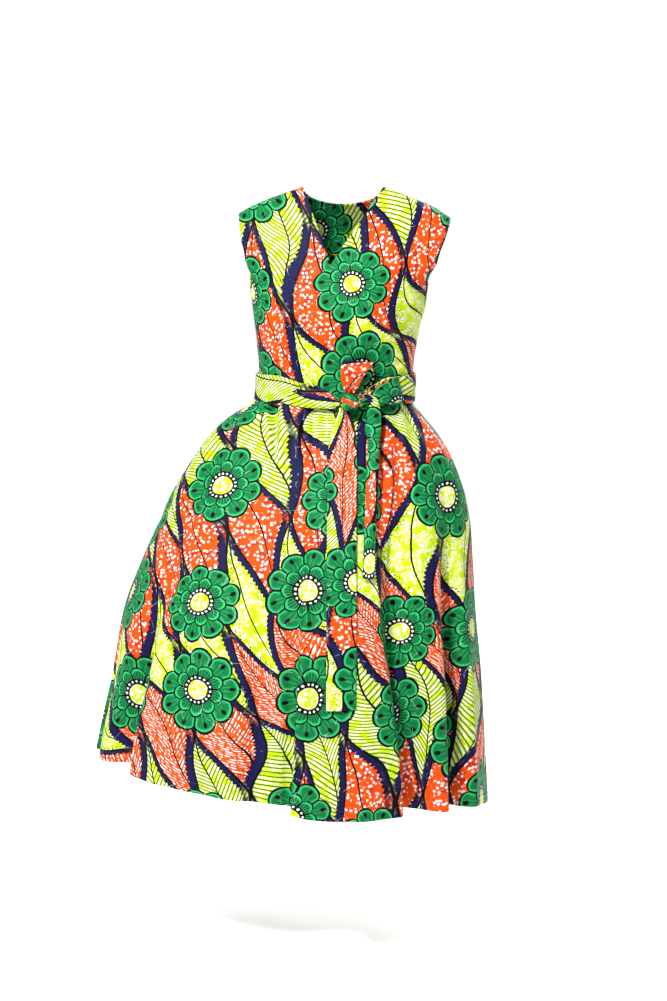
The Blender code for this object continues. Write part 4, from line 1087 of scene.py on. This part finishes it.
def bodice_piece(name, back, material, creases):
    halves, quads, wall = [], [], []
    rows, columns = BODICE_UP + BODICE_DOWN + 1, BODICE_COLUMNS + 1
    for i, side in enumerate((-1, 1)):
        x, y, z = bodice_grid(side, back, BODICE_UP, BODICE_DOWN, BODICE_COLUMNS)
        halves.append(np.stack(np.broadcast_arrays(x, y, z), -1))
        quads.append(grid_quads(rows, columns, i * rows * columns, (side > 0) != back))
    points = np.concatenate([h.reshape(-1, 3) for h in halves])
    quads = np.concatenate(quads)
    # The halves share the centre line below the neck
    same = np.arange(len(points))
    r = np.arange(BODICE_UP, rows)
    same[rows * columns + r * columns] = r * columns
    quads = same[quads]
    used = np.unique(quads)
    place = np.zeros(len(points), int)
    place[used] = np.arange(len(used))
    # Distance from the free edges and from the seams
    to_edge, to_seam = [], []
    for half in halves:
        across, down = lengths(half, 1), lengths(half, 0)
        near_neck = np.where(np.arange(rows)[:, None] <= BODICE_UP, across, 1.0)
        near_arm = np.where(np.arange(rows)[:, None] <= BODICE_UP, across[:, -1:] - across, 1.0)
        near_side = np.where(np.arange(rows)[:, None] >= BODICE_UP, across[:, -1:] - across, 1.0)
        to_edge.append(np.minimum(near_neck, near_arm).ravel())
        to_seam.append(np.minimum(near_side, down).ravel())
    to_edge, to_seam = np.concatenate(to_edge), np.concatenate(to_seam)
    x, drop = points[:, 0].copy(), -points[:, 2].copy()
    cloth_at = np.stack([arc_at(angle_of(x, drop), drop, back), -drop * 1.03], 1)
    normal = normals_of(points[used], place[quads])
    move = creases_out(creases, x, drop) + unevenness(x, drop, 0.0010, 11 + back) * ramp(to_edge / 0.03)
    move = move - 0.0011 * np.exp(-((to_seam / 0.0016) ** 2))
    move = move * (1 - ramp((drop - 0.386) / 0.008)) - 0.0006 * ramp((drop - 0.386) / 0.008)
    moved = points[used] + normal * move[used, None]
    turned = 1 - ramp((to_edge - 0.005) / 0.004)
    shade = shell(name, moved, place[quads], cloth_at[used], (CLOTH + (HEM_CLOTH - CLOTH) * turned)[used], material)
    # Where the edge stitching runs, 5.5 mm in
    lines = []
    for half, side in zip(halves, (-1, 1)):
        grid_normal = normals_of(half.reshape(-1, 3), grid_quads(rows, columns, 0, (side > 0) != back)).reshape(half.shape)
        across = lengths(half, 1)
        for from_neck in (True, False):
            path, up = [], []
            for row in range(1, BODICE_UP + 1):
                run = across[row] if from_neck else across[row, -1] - across[row][::-1]
                here, out = (half[row], grid_normal[row]) if from_neck else (half[row][::-1], grid_normal[row][::-1])
                point = np.array([np.interp(0.0055, run, here[:, k]) for k in range(3)])
                out = np.array([np.interp(0.0055, run, out[:, k]) for k in range(3)])
                path.append(point + out * HEM_CLOTH / 2)
                up.append(out)
            lines.append((np.array(path), np.array(up)))
    return shade, stitches(name + "_stitching", lines, THREAD)


# ---- Skirt ----


def outline_x(angle, drop):
    left, right = (smooth_at(SKIRT, "drop", n, drop) for n in ("left", "right"))
    return (right + left) / 2 + (right - left) / 2 * np.sin(np.radians(angle))


def skirt_angle_columns(first, last, columns):
    """Column angles with a few more beside the two side seams."""
    inner = skirt_angles(first, last, columns)
    near = np.array([0.12, 0.35, 0.8])
    return np.unique(np.concatenate([inner, first + near, last - near]))


def flat_cut(grid):
    """The longest row and column of a grid of points, along the cloth, and its area."""
    down, across = np.diff(grid, axis=0), np.diff(grid, axis=1)
    area = np.linalg.norm(np.cross(down[:, :-1], across[:-1]), axis=-1).sum()
    longest = (np.linalg.norm(step, axis=-1).sum(axis).max() for axis, step in enumerate((down, across)))
    return (*(float(n) for n in longest), float(area))


def skirt_piece(name, back, columns, row_counts, material, lines):
    first, last = (90.0001, 269.9999) if back else (-90.0, 90.0)
    angle = skirt_angle_columns(first, last, columns)[None, :]
    upper, middle, lower = row_counts
    s = np.concatenate(
        [np.linspace(0, 0.25, upper), np.linspace(0.25, 0.962, middle)[1:], np.linspace(0.962, 1, lower)[1:]]
    )[:, None]
    x, y, z = np.broadcast_arrays(*skirt(angle, s))
    grid = np.stack([x, y, z], -1)
    rows, cols = x.shape
    quads = grid_quads(rows, cols, 0, True)
    drop = -z
    level_x = outline_x(angle, drop)
    normal = normals_of(grid.reshape(-1, 3), quads).reshape(grid.shape)
    down = lengths(grid, 0)
    around = lengths(grid, 1)
    to_side = np.minimum(around, around[:, -1:] - around)
    to_hem = down[-1:] - down
    calm = ramp(to_side / 0.03)
    move = lines_out(lines, level_x, drop) * calm
    move = move + unevenness(level_x * (1.0 + 0 * drop) + y * 0.6, drop, 0.0016, 31 + back) * calm * (0.4 + 0.6 * ramp(s / 0.4))
    # The seams sink a little, but not where a pocket opens
    open_at = np.maximum(lens(-1, drop) * (level_x < 0), lens(1, drop) * (level_x > 0))
    move = move - 0.0012 * np.exp(-((to_side / 0.0018) ** 2)) * (open_at <= 0)
    move = move - 0.0007 * np.exp(-(((to_hem - 0.018) / 0.0016) ** 2))
    moved = grid + normal * move[..., None]
    # The flat cut: a flared panel, its grain upright at the middle
    total = around[:, -1]
    length = float(down[-1].mean())
    flare = (total[-1] - total[0]) / length
    middle_at = np.array([np.interp(0.0 if not back else 180.0, angle[0], row) for row in around])[:, None]
    turn = (around - middle_at) / total[:, None] * flare
    radius = total[0] / flare + down
    cloth_at = np.stack([radius * np.sin(turn), total[0] / flare - radius * np.cos(turn)], -1)
    doubled = np.maximum(1 - ramp((to_hem - 0.0175) / 0.001), (open_at > 0) * (1 - ramp((to_side - 0.022) / 0.002)))
    wall = CLOTH + (HEM_CLOTH - CLOTH) * doubled
    made = shell(name, moved.reshape(-1, 3), quads, cloth_at.reshape(-1, 2), wall.ravel(), material)
    area = flat_cut(moved)[2]
    # Hem stitching, 18 mm up
    path, up = [], []
    final_normal = normals_of(moved.reshape(-1, 3), quads).reshape(grid.shape)
    for column in range(cols):
        run = down[-1, column] - down[::-1, column]
        path.append([np.interp(0.0172, run, moved[::-1, column, k]) for k in range(3)])
        up.append([np.interp(0.0172, run, final_normal[::-1, column, k]) for k in range(3)])
    path, up = np.array(path), np.array(up)
    sewn = stitches(name + "_hem_stitching", [(path + up * HEM_CLOTH / 2, up)], THREAD)
    flat = cloth_at.reshape(-1, 2)
    size = (float(np.ptp(flat[:, 0])), float(np.ptp(flat[:, 1])))
    return made, sewn, size, area


# ---- Pockets ----


def pocket_piece(name, side, back):
    pocket = POCKETS[side]
    middle, half_high = (pocket.top + pocket.bottom) / 2, (pocket.bottom - pocket.top) / 2
    out = 1 if back else -1
    mouth_out = pocket.back if back else pocket.front

    def seam_at(drop):
        hem = smooth_at(HEM, "angle", "drop", 90.0 * side)
        x, _, z = skirt(89.99 * side, (drop - WAIST) / (hem - WAIST))
        return np.array([float(x), 0.0, float(z)])

    top, bottom, mouth = seam_at(pocket.top), seam_at(pocket.bottom), seam_at(middle)
    down = (bottom - top) / np.linalg.norm(bottom - top)
    inward = np.array([-side * abs(down[2]), 0.0, -abs(down[0])])
    turns = np.linspace(0, np.pi, 41)
    alongs = np.concatenate([np.linspace(0, 0.08, 7), np.linspace(0.08, 1, 40)[1:]])
    points = []
    for along in alongs:
        row = {n: float(smooth_at(BAG, "along", n, along)) for n in Bag._fields[1:]}
        at_mouth = 1 - ramp(along / 0.08)
        for turn in turns:
            high = half_high * (row["high"] * (1 - at_mouth) + 0.995 * at_mouth) * np.cos(turn)
            place = seam_at(middle + high) * (1 - along) + (mouth + down * high) * along
            place = place + inward * (0.0035 * (1 - at_mouth) + 0.0009 * at_mouth + BAG_DEEP * along)
            bag_thick = 0.0004 + row["thick"] * np.sin(turn)
            mouth_thick = max(mouth_out * float(lens(side, middle + high)) - 0.0009, 0.0)
            thick = bag_thick * (1 - at_mouth) + mouth_thick * at_mouth
            thick = thick + 0.0006 * np.sin(along * 21 + turn * 3) * np.sin(turn) * (1 - at_mouth)
            points.append(place + np.array([0.0, out * thick - row["forward"], -row["down"]]))
    grid = np.array(points).reshape(len(alongs), len(turns), 3)
    quads = grid_quads(len(alongs), len(turns), 0, (side < 0) != back)
    cloth_at = np.stack([lengths(grid, 0), (turns[None, :] / np.pi) * 2 * half_high + 0 * grid[..., 0]], -1)
    return shell(name, grid.reshape(-1, 3), quads, cloth_at.reshape(-1, 2), CLOTH, POCKET_CLOTH), flat_cut(grid)


# ---- Belt ----


def waist_point(angle, drop, out):
    """A point of the waist moved out square to the section."""
    drop = min(drop, WAIST)
    turn = (angle + 180) % 360 - 180
    is_back = abs(turn) > 90
    fold = (180 - turn) if turn > 90 else (-180 - turn) if turn < -90 else turn
    x, y = torso(np.array(fold), np.array(drop), is_back)
    half = float(smooth_at(TORSO, "drop", "half", drop))
    depth = float(smooth_at(TORSO, "drop", "back" if is_back else "front", drop))
    out_x = np.sin(np.radians(turn)) / half
    out_y = -np.cos(np.radians(turn)) / depth
    length = np.hypot(out_x, out_y)
    return float(x) + out * out_x / length, float(y) + out * out_y / length


def front_map():
    """The foremost y of the dress front on a grid of drops and x."""
    drops, xs = np.linspace(WAIST, 0.93, 180), np.linspace(-0.14, 0.14, 141)
    angle = np.linspace(-80, 80, 641)
    hem = smooth_at(HEM, "angle", "drop", angle)
    rows = []
    for drop in drops:
        sx, sy, _ = skirt(angle, np.clip((drop - WAIST) / (hem - WAIST), 0, 1))
        near = np.abs(sx[None, :] - xs[:, None]) < 0.006
        rows.append(np.where(near, sy[None, :], 1.0).min(1))
    return drops, xs, np.array(rows)


MAP_DROPS, MAP_XS, MAP_Y = front_map()


def dress_front_at(x, drop):
    """The foremost y of the dress front near x at this drop, above or below the waist."""
    if drop < WAIST:
        return float(torso(angle_of(np.array(x), np.array(drop)), np.array(drop))[1])
    i = np.clip((drop - MAP_DROPS[0]) / (MAP_DROPS[1] - MAP_DROPS[0]), 0, len(MAP_DROPS) - 1.001)
    j = np.clip((x - MAP_XS[0]) / (MAP_XS[1] - MAP_XS[0]), 0, len(MAP_XS) - 1.001)
    i0, j0 = int(i), int(j)
    fi, fj = i - i0, j - j0
    return float(
        MAP_Y[i0, j0] * (1 - fi) * (1 - fj) + MAP_Y[i0 + 1, j0] * fi * (1 - fj)
        + MAP_Y[i0, j0 + 1] * (1 - fi) * fj + MAP_Y[i0 + 1, j0 + 1] * fi * fj
    )


def strip(name, grid, material, flip, cloth_wide=None, wall=BELT_CLOTH):
    """A length of belt from a grid whose rows run along it and whose columns run across it."""
    rows, columns = grid.shape[:2]
    along = lengths(grid, 0).mean(1, keepdims=True) + 0 * grid[..., 0]
    across = lengths(grid, 1)
    if cloth_wide:
        across = across / across[:, -1:] * cloth_wide
    cloth_at = np.stack([across, along], -1)
    made = shell(name, grid.reshape(-1, 3), grid_quads(rows, columns, 0, flip), cloth_at.reshape(-1, 2), wall, material)
    return made, float(along[-1, 0])


def belt_band():
    rows = []
    for along in np.linspace(0, 1, 261):
        row = {n: float(smooth_at(BAND, "along", n, along)) for n in Band._fields[1:]}
        line = []
        for v in np.linspace(0, 1, 25):
            angle = row["top_angle"] * (1 - v) + row["bottom_angle"] * v
            low = row["bottom"] + 0.0022 * np.exp(-(((along - 0.5) / 0.42) ** 4))
            drop = row["top"] * (1 - v) + low * v
            pucker = 0.0013 * np.sin(5.0 * np.pi * v + 9 * along) * np.exp(-(along / 0.10))
            pucker += 0.0011 * np.sin(3.2 * np.pi * v + 14 * along + 0.7) * np.exp(-((1 - along) / 0.10))
            pucker += 0.0005 * np.sin(2.3 * np.pi * v + 26 * along) + 0.0004 * np.sin(61 * along + 4 * v)
            edge = 0.0008 * (np.abs(2 * v - 1) ** 6)
            x, y = waist_point(angle, drop, row["out"] + 0.0010 * np.sin(np.pi * v) + pucker * np.sin(np.pi * v) ** 0.4 - edge)
            line.append((x, y, -drop))
        rows.append(line)
    return strip("belt_round_waist", np.array(rows), BAND_CLOTH, False)


def belt_front():
    rows = []
    for along in np.linspace(-0.045, 1.02, 110):
        row = {n: float(smooth_at(STRETCH, "along", n, max(along, 0))) for n in Stretch._fields[1:]}
        turned = ramp(-along / 0.045)
        line = []
        for v in np.linspace(0, 1, 29):
            x = row["top_x"] * (1 - v) + row["bottom_x"] * v
            drop = row["top_drop"] * (1 - v) + row["bottom_drop"] * v
            y = dress_front_at(x, min(drop, WAIST - 1e-6))
            gather = ramp((along - 0.25) / 0.75)
            fold = 0.0030 * gather * np.cos(3.0 * np.pi * (v - 0.08)) + 0.0008 * np.sin(4 * np.pi * v + 5 * along)
            out = row["out"] + 0.0012 * np.sin(np.pi * v) + fold * np.sin(np.pi * v) ** 0.5
            out = out * (1 - turned) + 0.0066 * turned
            line.append((x - 0.0022 * np.sqrt(turned), y - out, -drop - 0.0006 * turned))
        rows.append(line)
    return strip("belt_turned_to_knot", np.array(rows), STRETCH_CLOTH, True, cloth_wide=0.050)


def rounded(value, power):
    return np.sign(value) * np.abs(value) ** power


# The stretch of the print that each turn of the knot shows, from the bottom up
Turn = namedtuple("Turn", "name u v")
KNOT_TURNS = [Turn("lower", 0.1800, 1.7530), Turn("middle", 0.7267, 1.5667), Turn("upper", 0.4267, 1.6800)]


def knot_piece():
    """Three turns of cloth round the crossing, each a swelling band with fine pulls."""
    rings, segments = 73, 96
    phi = np.linspace(0.02, np.pi - 0.02, rings)[:, None]
    theta = np.linspace(0, 2 * np.pi, segments, endpoint=False)[None, :]
    z = np.cos(phi) + 0 * theta
    level = np.sin(phi) ** 0.75
    x = level * rounded(np.cos(theta), 0.8)
    y = level * rounded(np.sin(theta), 0.8)
    z = rounded(z, 0.85)
    slant = z + 0.30 * x + 0.05 * np.sin(3 * x)
    band = np.abs(np.sin(1.5 * np.pi * (slant + 1.0)))
    swell = 0.76 + 0.25 * band**0.5
    pulls = 0.010 * np.sin(31 * slant + 4 * theta) * np.sin(theta * 3 + slant) + 0.008 * np.sin(17 * slant - 3 * theta)
    swell = (swell + pulls) * 1.0
    points = np.stack(
        [
            KNOT_CENTRE[0] + KNOT_HALF[0] * x * swell,
            KNOT_CENTRE[1] + KNOT_HALF[1] * y * swell,
            KNOT_CENTRE[2] + KNOT_HALF[2] * z * (0.96 + 0.04 * swell),
        ],
        -1,
    ).reshape(-1, 3)
    quads = grid_quads(rings, segments)
    r = np.arange(rings - 1)
    seam = np.stack([r * segments + segments - 1, r * segments, (r + 1) * segments, (r + 1) * segments + segments - 1], 1)
    top, bottom = len(points), len(points) + 1
    points = np.concatenate([points, [points[:segments].mean(0)], [points[-segments:].mean(0)]])
    c = np.arange(segments)
    caps = np.concatenate([
        np.stack([np.full(segments, top), (c + 1) % segments, c], 1),
        np.stack([np.full(segments, bottom), (rings - 1) * segments + c, (rings - 1) * segments + (c + 1) % segments], 1),
    ])
    # Each turn shows another stretch of the print
    turn_no = np.clip(np.floor((slant.ravel() + 1.0) * 1.5), 0, 2).astype(int)
    places = np.array([(turn.u, turn.v) for turn in KNOT_TURNS])[turn_no]
    from_front = (theta + 0 * phi).ravel() - 1.5 * np.pi
    flat = places + np.stack([from_front * 0.014, slant.ravel() * 0.015], 1)
    flat = np.concatenate([flat, flat[:1], flat[-1:]])
    quads = np.concatenate([quads, seam])[:, ::-1]
    return mesh_piece("belt_knot_turns", points, [quads, caps], flat, KNOT_CLOTH)


def loop_piece(name, table, root, lean, material, folds):
    along_x, along_z = np.sin(np.radians(lean)), np.cos(np.radians(lean))
    rows = []
    for along in np.linspace(0, 1, 131):
        row = {n: float(smooth_at(table, "along", n, along)) for n in Loop._fields[1:]}
        near_knot = np.exp(-(min(along, 1 - along) / 0.16))
        line = []
        for v in np.linspace(-1, 1, 33):
            across = row["shift"] + v * row["half"]
            pucker = (0.0026 * near_knot * np.cos(folds * np.pi * v + 0.6) + 0.0007 * np.sin(5 * v + 8 * along)) * (1 - v * v) ** 0.5
            x = root[0] + along_x * row["u"] + along_z * across
            z = root[1] + along_z * row["u"] - along_x * across
            base = min(dress_front_at(x + reach, min(-z, WAIST - 1e-6)) for reach in (-0.004, 0, 0.004))
            out_way = 1.0 if along < 0.5 else 0.35
            line.append((x, base - LOOP_CLEAR - row["w"] - 0.0012 * (1 - v * v) - pucker * out_way, z))
        rows.append(line)
    return strip(name, np.array(rows), material, False, cloth_wide=0.050)


def tail_long():
    rows = []
    for along in np.concatenate([np.linspace(-0.012, 0.2, 60), np.linspace(0.2, 1, 90)[1:]]):
        row = {n: float(smooth_at(TAIL_LONG, "along", n, max(along, 0))) for n in Tail._fields[1:]}
        drop = row["drop"] + min(along, 0) * 0.5
        near_knot = np.exp(-max(along, 0) / 0.055)
        line = []
        for v in np.linspace(0, 1, 33):
            x = row["left"] * (1 - v) + row["right"] * v
            y = dress_front_at(x, row["drop"]) - row["out"]
            pucker = 0.0034 * near_knot * np.cos(4.0 * np.pi * v - 0.4) + 0.0006 * np.sin(3 * np.pi * v + 11 * along)
            bow = 0.0012 * np.sin(7 * along + 2.2 * v) * ramp(along / 0.3)
            line.append((x, y - 0.001 * np.sin(np.pi * v) - pucker * np.sin(np.pi * v) ** 0.5 - abs(bow), -drop))
        rows.append(line)
    return strip("belt_tail_front", np.array(rows), TAIL_CLOTH, True, cloth_wide=0.050)


def tail_short():
    section = [(-1.0, 0.0), (-0.4, -0.25), (0.35, -0.25), (0.88, 0.1), (1.0, 0.55), (0.88, 1.0), (0.35, 1.25), (-0.5, 1.15)]
    marks = np.linspace(0, 1, len(section))
    fine = np.linspace(0, 1, 43)
    kernel = np.array([np.interp(np.clip(fine + d, 0, 1), marks, [p[0] for p in section]) for d in (-0.06, -0.03, 0, 0.03, 0.06)])
    across_at = kernel.mean(0)
    kernel = np.array([np.interp(np.clip(fine + d, 0, 1), marks, [p[1] for p in section]) for d in (-0.06, -0.03, 0, 0.03, 0.06)])
    behind_at = kernel.mean(0)
    rows = []
    for along in np.linspace(0, 1, 141):
        row = {n: float(smooth_at(TAIL_SHORT, "along", n, along)) for n in Folded._fields[1:]}
        base = min(dress_front_at(row["x"] + side * row["half"], row["drop"]) for side in (-1, 0, 1))
        line = []
        for across, behind in zip(across_at, behind_at):
            wave = 0.0006 * np.sin(23 * along + 3 * across) * (behind < 0.3)
            line.append(
                (row["x"] + across * row["half"], base - row["lift"] + behind * row["gap"] + wave, -row["drop"] - 0.0004 * across)
            )
        rows.append(line)
    return strip("belt_tail_folded", np.array(rows), FOLDED_CLOTH, True, cloth_wide=0.050, wall=BELT_CLOTH * 0.7)


# ---- Making the dress ----

SHOWN = []


def stands_for(piece, *nodes, slot=None):
    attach(piece, "root")
    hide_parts(*nodes)
    SHOWN.append(piece)
    return piece


def rides(piece):
    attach(piece, "root")
    SHOWN.append(piece)
    return piece


front_skirt, front_hem, front_size, front_area = skirt_piece(
    "skirt_front_panel", False, 300, (52, 76, 15), SKIRT_CLOTH, FRONT_SKIRT_LINES
)
back_skirt, back_hem, back_size, back_area = skirt_piece(
    "skirt_back_panel", True, 280, (46, 70, 13), SKIRT_BACK_CLOTH, BACK_SKIRT_LINES
)
stands_for(front_skirt, "skirt_front_upper", "skirt_front_lower", slot="wax_print")
stands_for(back_skirt, "skirt_back_upper", "skirt_back_lower", slot="wax_print")
rides(front_hem)
rides(back_hem)

for name, back, material, creases in (
    ("bodice_front", False, BODICE_CLOTH, FRONT_CREASES),
    ("bodice_back", True, BODICE_BACK_CLOTH, BACK_CREASES),
):
    panel, sewn = bodice_piece(name + "_panel", back, material, creases)
    stands_for(panel, name, slot="wax_print")
    rides(sewn)

for side, side_name in ((-1, "left"), (1, "right")):
    for back, layer in ((False, "front"), (True, "back")):
        pocket, cut = pocket_piece(f"pocket_{side_name}_{layer}_bag", side, back)
        stands_for(pocket, f"pocket_{side_name}_{layer}", slot="pocket_cloth")

knot = stands_for(knot_piece(), "belt_knot", slot="belt_cloth")
band, long = belt_band()
stands_for(band, "belt_band", slot="belt_cloth")
stretch, long = belt_front()
stands_for(stretch, "belt_front_left", slot="belt_cloth")
0.045 * long
for loop_name, node, table, root, lean, material, folds in (
    ("bow_loop_upright", "bow_loop_up", LOOP_UP, UP_ROOT, UP_LEAN, UP_CLOTH, 2.2),
    ("bow_loop_sideways", "bow_loop_right", LOOP_RIGHT, RIGHT_ROOT, RIGHT_LEAN, RIGHT_CLOTH, 2.0),
):
    loop, long = loop_piece(loop_name, table, root, lean, material, folds)
    stands_for(loop, node, slot="belt_cloth")
    0.040 * long
for make, node in ((tail_long, "belt_tail_long"), (tail_short, "belt_tail_short")):
    tail, long = make()
    stands_for(tail, node, slot="belt_cloth")


# ---- Floor, light and camera ----

FLOOR_Z = -1.42
mesh = bpy.data.meshes.new("floor")
ring = [(7 * math.cos(a), 7 * math.sin(a), FLOOR_Z) for a in np.linspace(0, 2 * math.pi, 96, endpoint=False)]
mesh.from_pydata(ring, [], [tuple(range(96))])
floor = bpy.data.objects.new("floor", mesh)
bpy.context.scene.collection.objects.link(floor)
paper = bpy.data.materials.new("pale_floor")
paper.use_nodes = True
tree = paper.node_tree
Num.tree = tree
place = tree.nodes.new("ShaderNodeTexCoord")
fleck = Num(noise(place.outputs["Object"], 3.0, 3.0).outputs["Fac"])
tree.links.new(blend((0.93, 0.93, 0.93), (0.95, 0.95, 0.95), fleck), tree.nodes["Principled BSDF"].inputs["Base Color"])
tree.nodes["Principled BSDF"].inputs["Roughness"].default_value = 0.9
tree.nodes["Principled BSDF"].inputs["Specular IOR Level"].default_value = 0.1
mesh.materials.append(paper)

world = bpy.data.worlds.new("studio")
world.use_nodes = True
world.node_tree.nodes["Background"].inputs["Color"].default_value = (1.0, 1.0, 1.0, 1.0)
world.node_tree.nodes["Background"].inputs["Strength"].default_value = 0.85
bpy.context.scene.world = world

Light = namedtuple("Light", "name x y z size power")
LIGHTS = [
    Light("key", -1.15, -2.64, 2.05, 0.7, 277.0),
    Light("back_left", 1.9, 2.8, 1.6, 2.2, 120.0),
]
for light in LIGHTS:
    data = bpy.data.lights.new(light.name, "AREA")
    data.shape = "DISK"
    data.size = light.size
    data.energy = light.power
    lamp = bpy.data.objects.new(light.name, data)
    lamp.location = (light.x, light.y, light.z)
    to = np.array([0.0, 0.0, -0.55]) - np.array([light.x, light.y, light.z])
    lamp.rotation_euler = (
        math.atan2(math.hypot(to[0], to[1]), -to[2]),
        0.0,
        math.atan2(to[1], to[0]) - math.pi / 2,
    )
    bpy.context.scene.collection.objects.link(lamp)

data = bpy.data.cameras.new("camera")
data.sensor_fit = "AUTO"
data.sensor_width = 36.0
data.lens = 69.59
camera = bpy.data.objects.new("camera", data)
camera.location = (-0.018, -3.6, -0.12)
camera.rotation_euler = (math.radians(82.7), 0.0, 0.0)
bpy.context.scene.collection.objects.link(camera)
bpy.context.scene.camera = camera
bpy.context.scene.view_settings.view_transform = "Standard"
bpy.context.scene.view_settings.look = "Medium High Contrast"

bpy.context.view_layer.update()
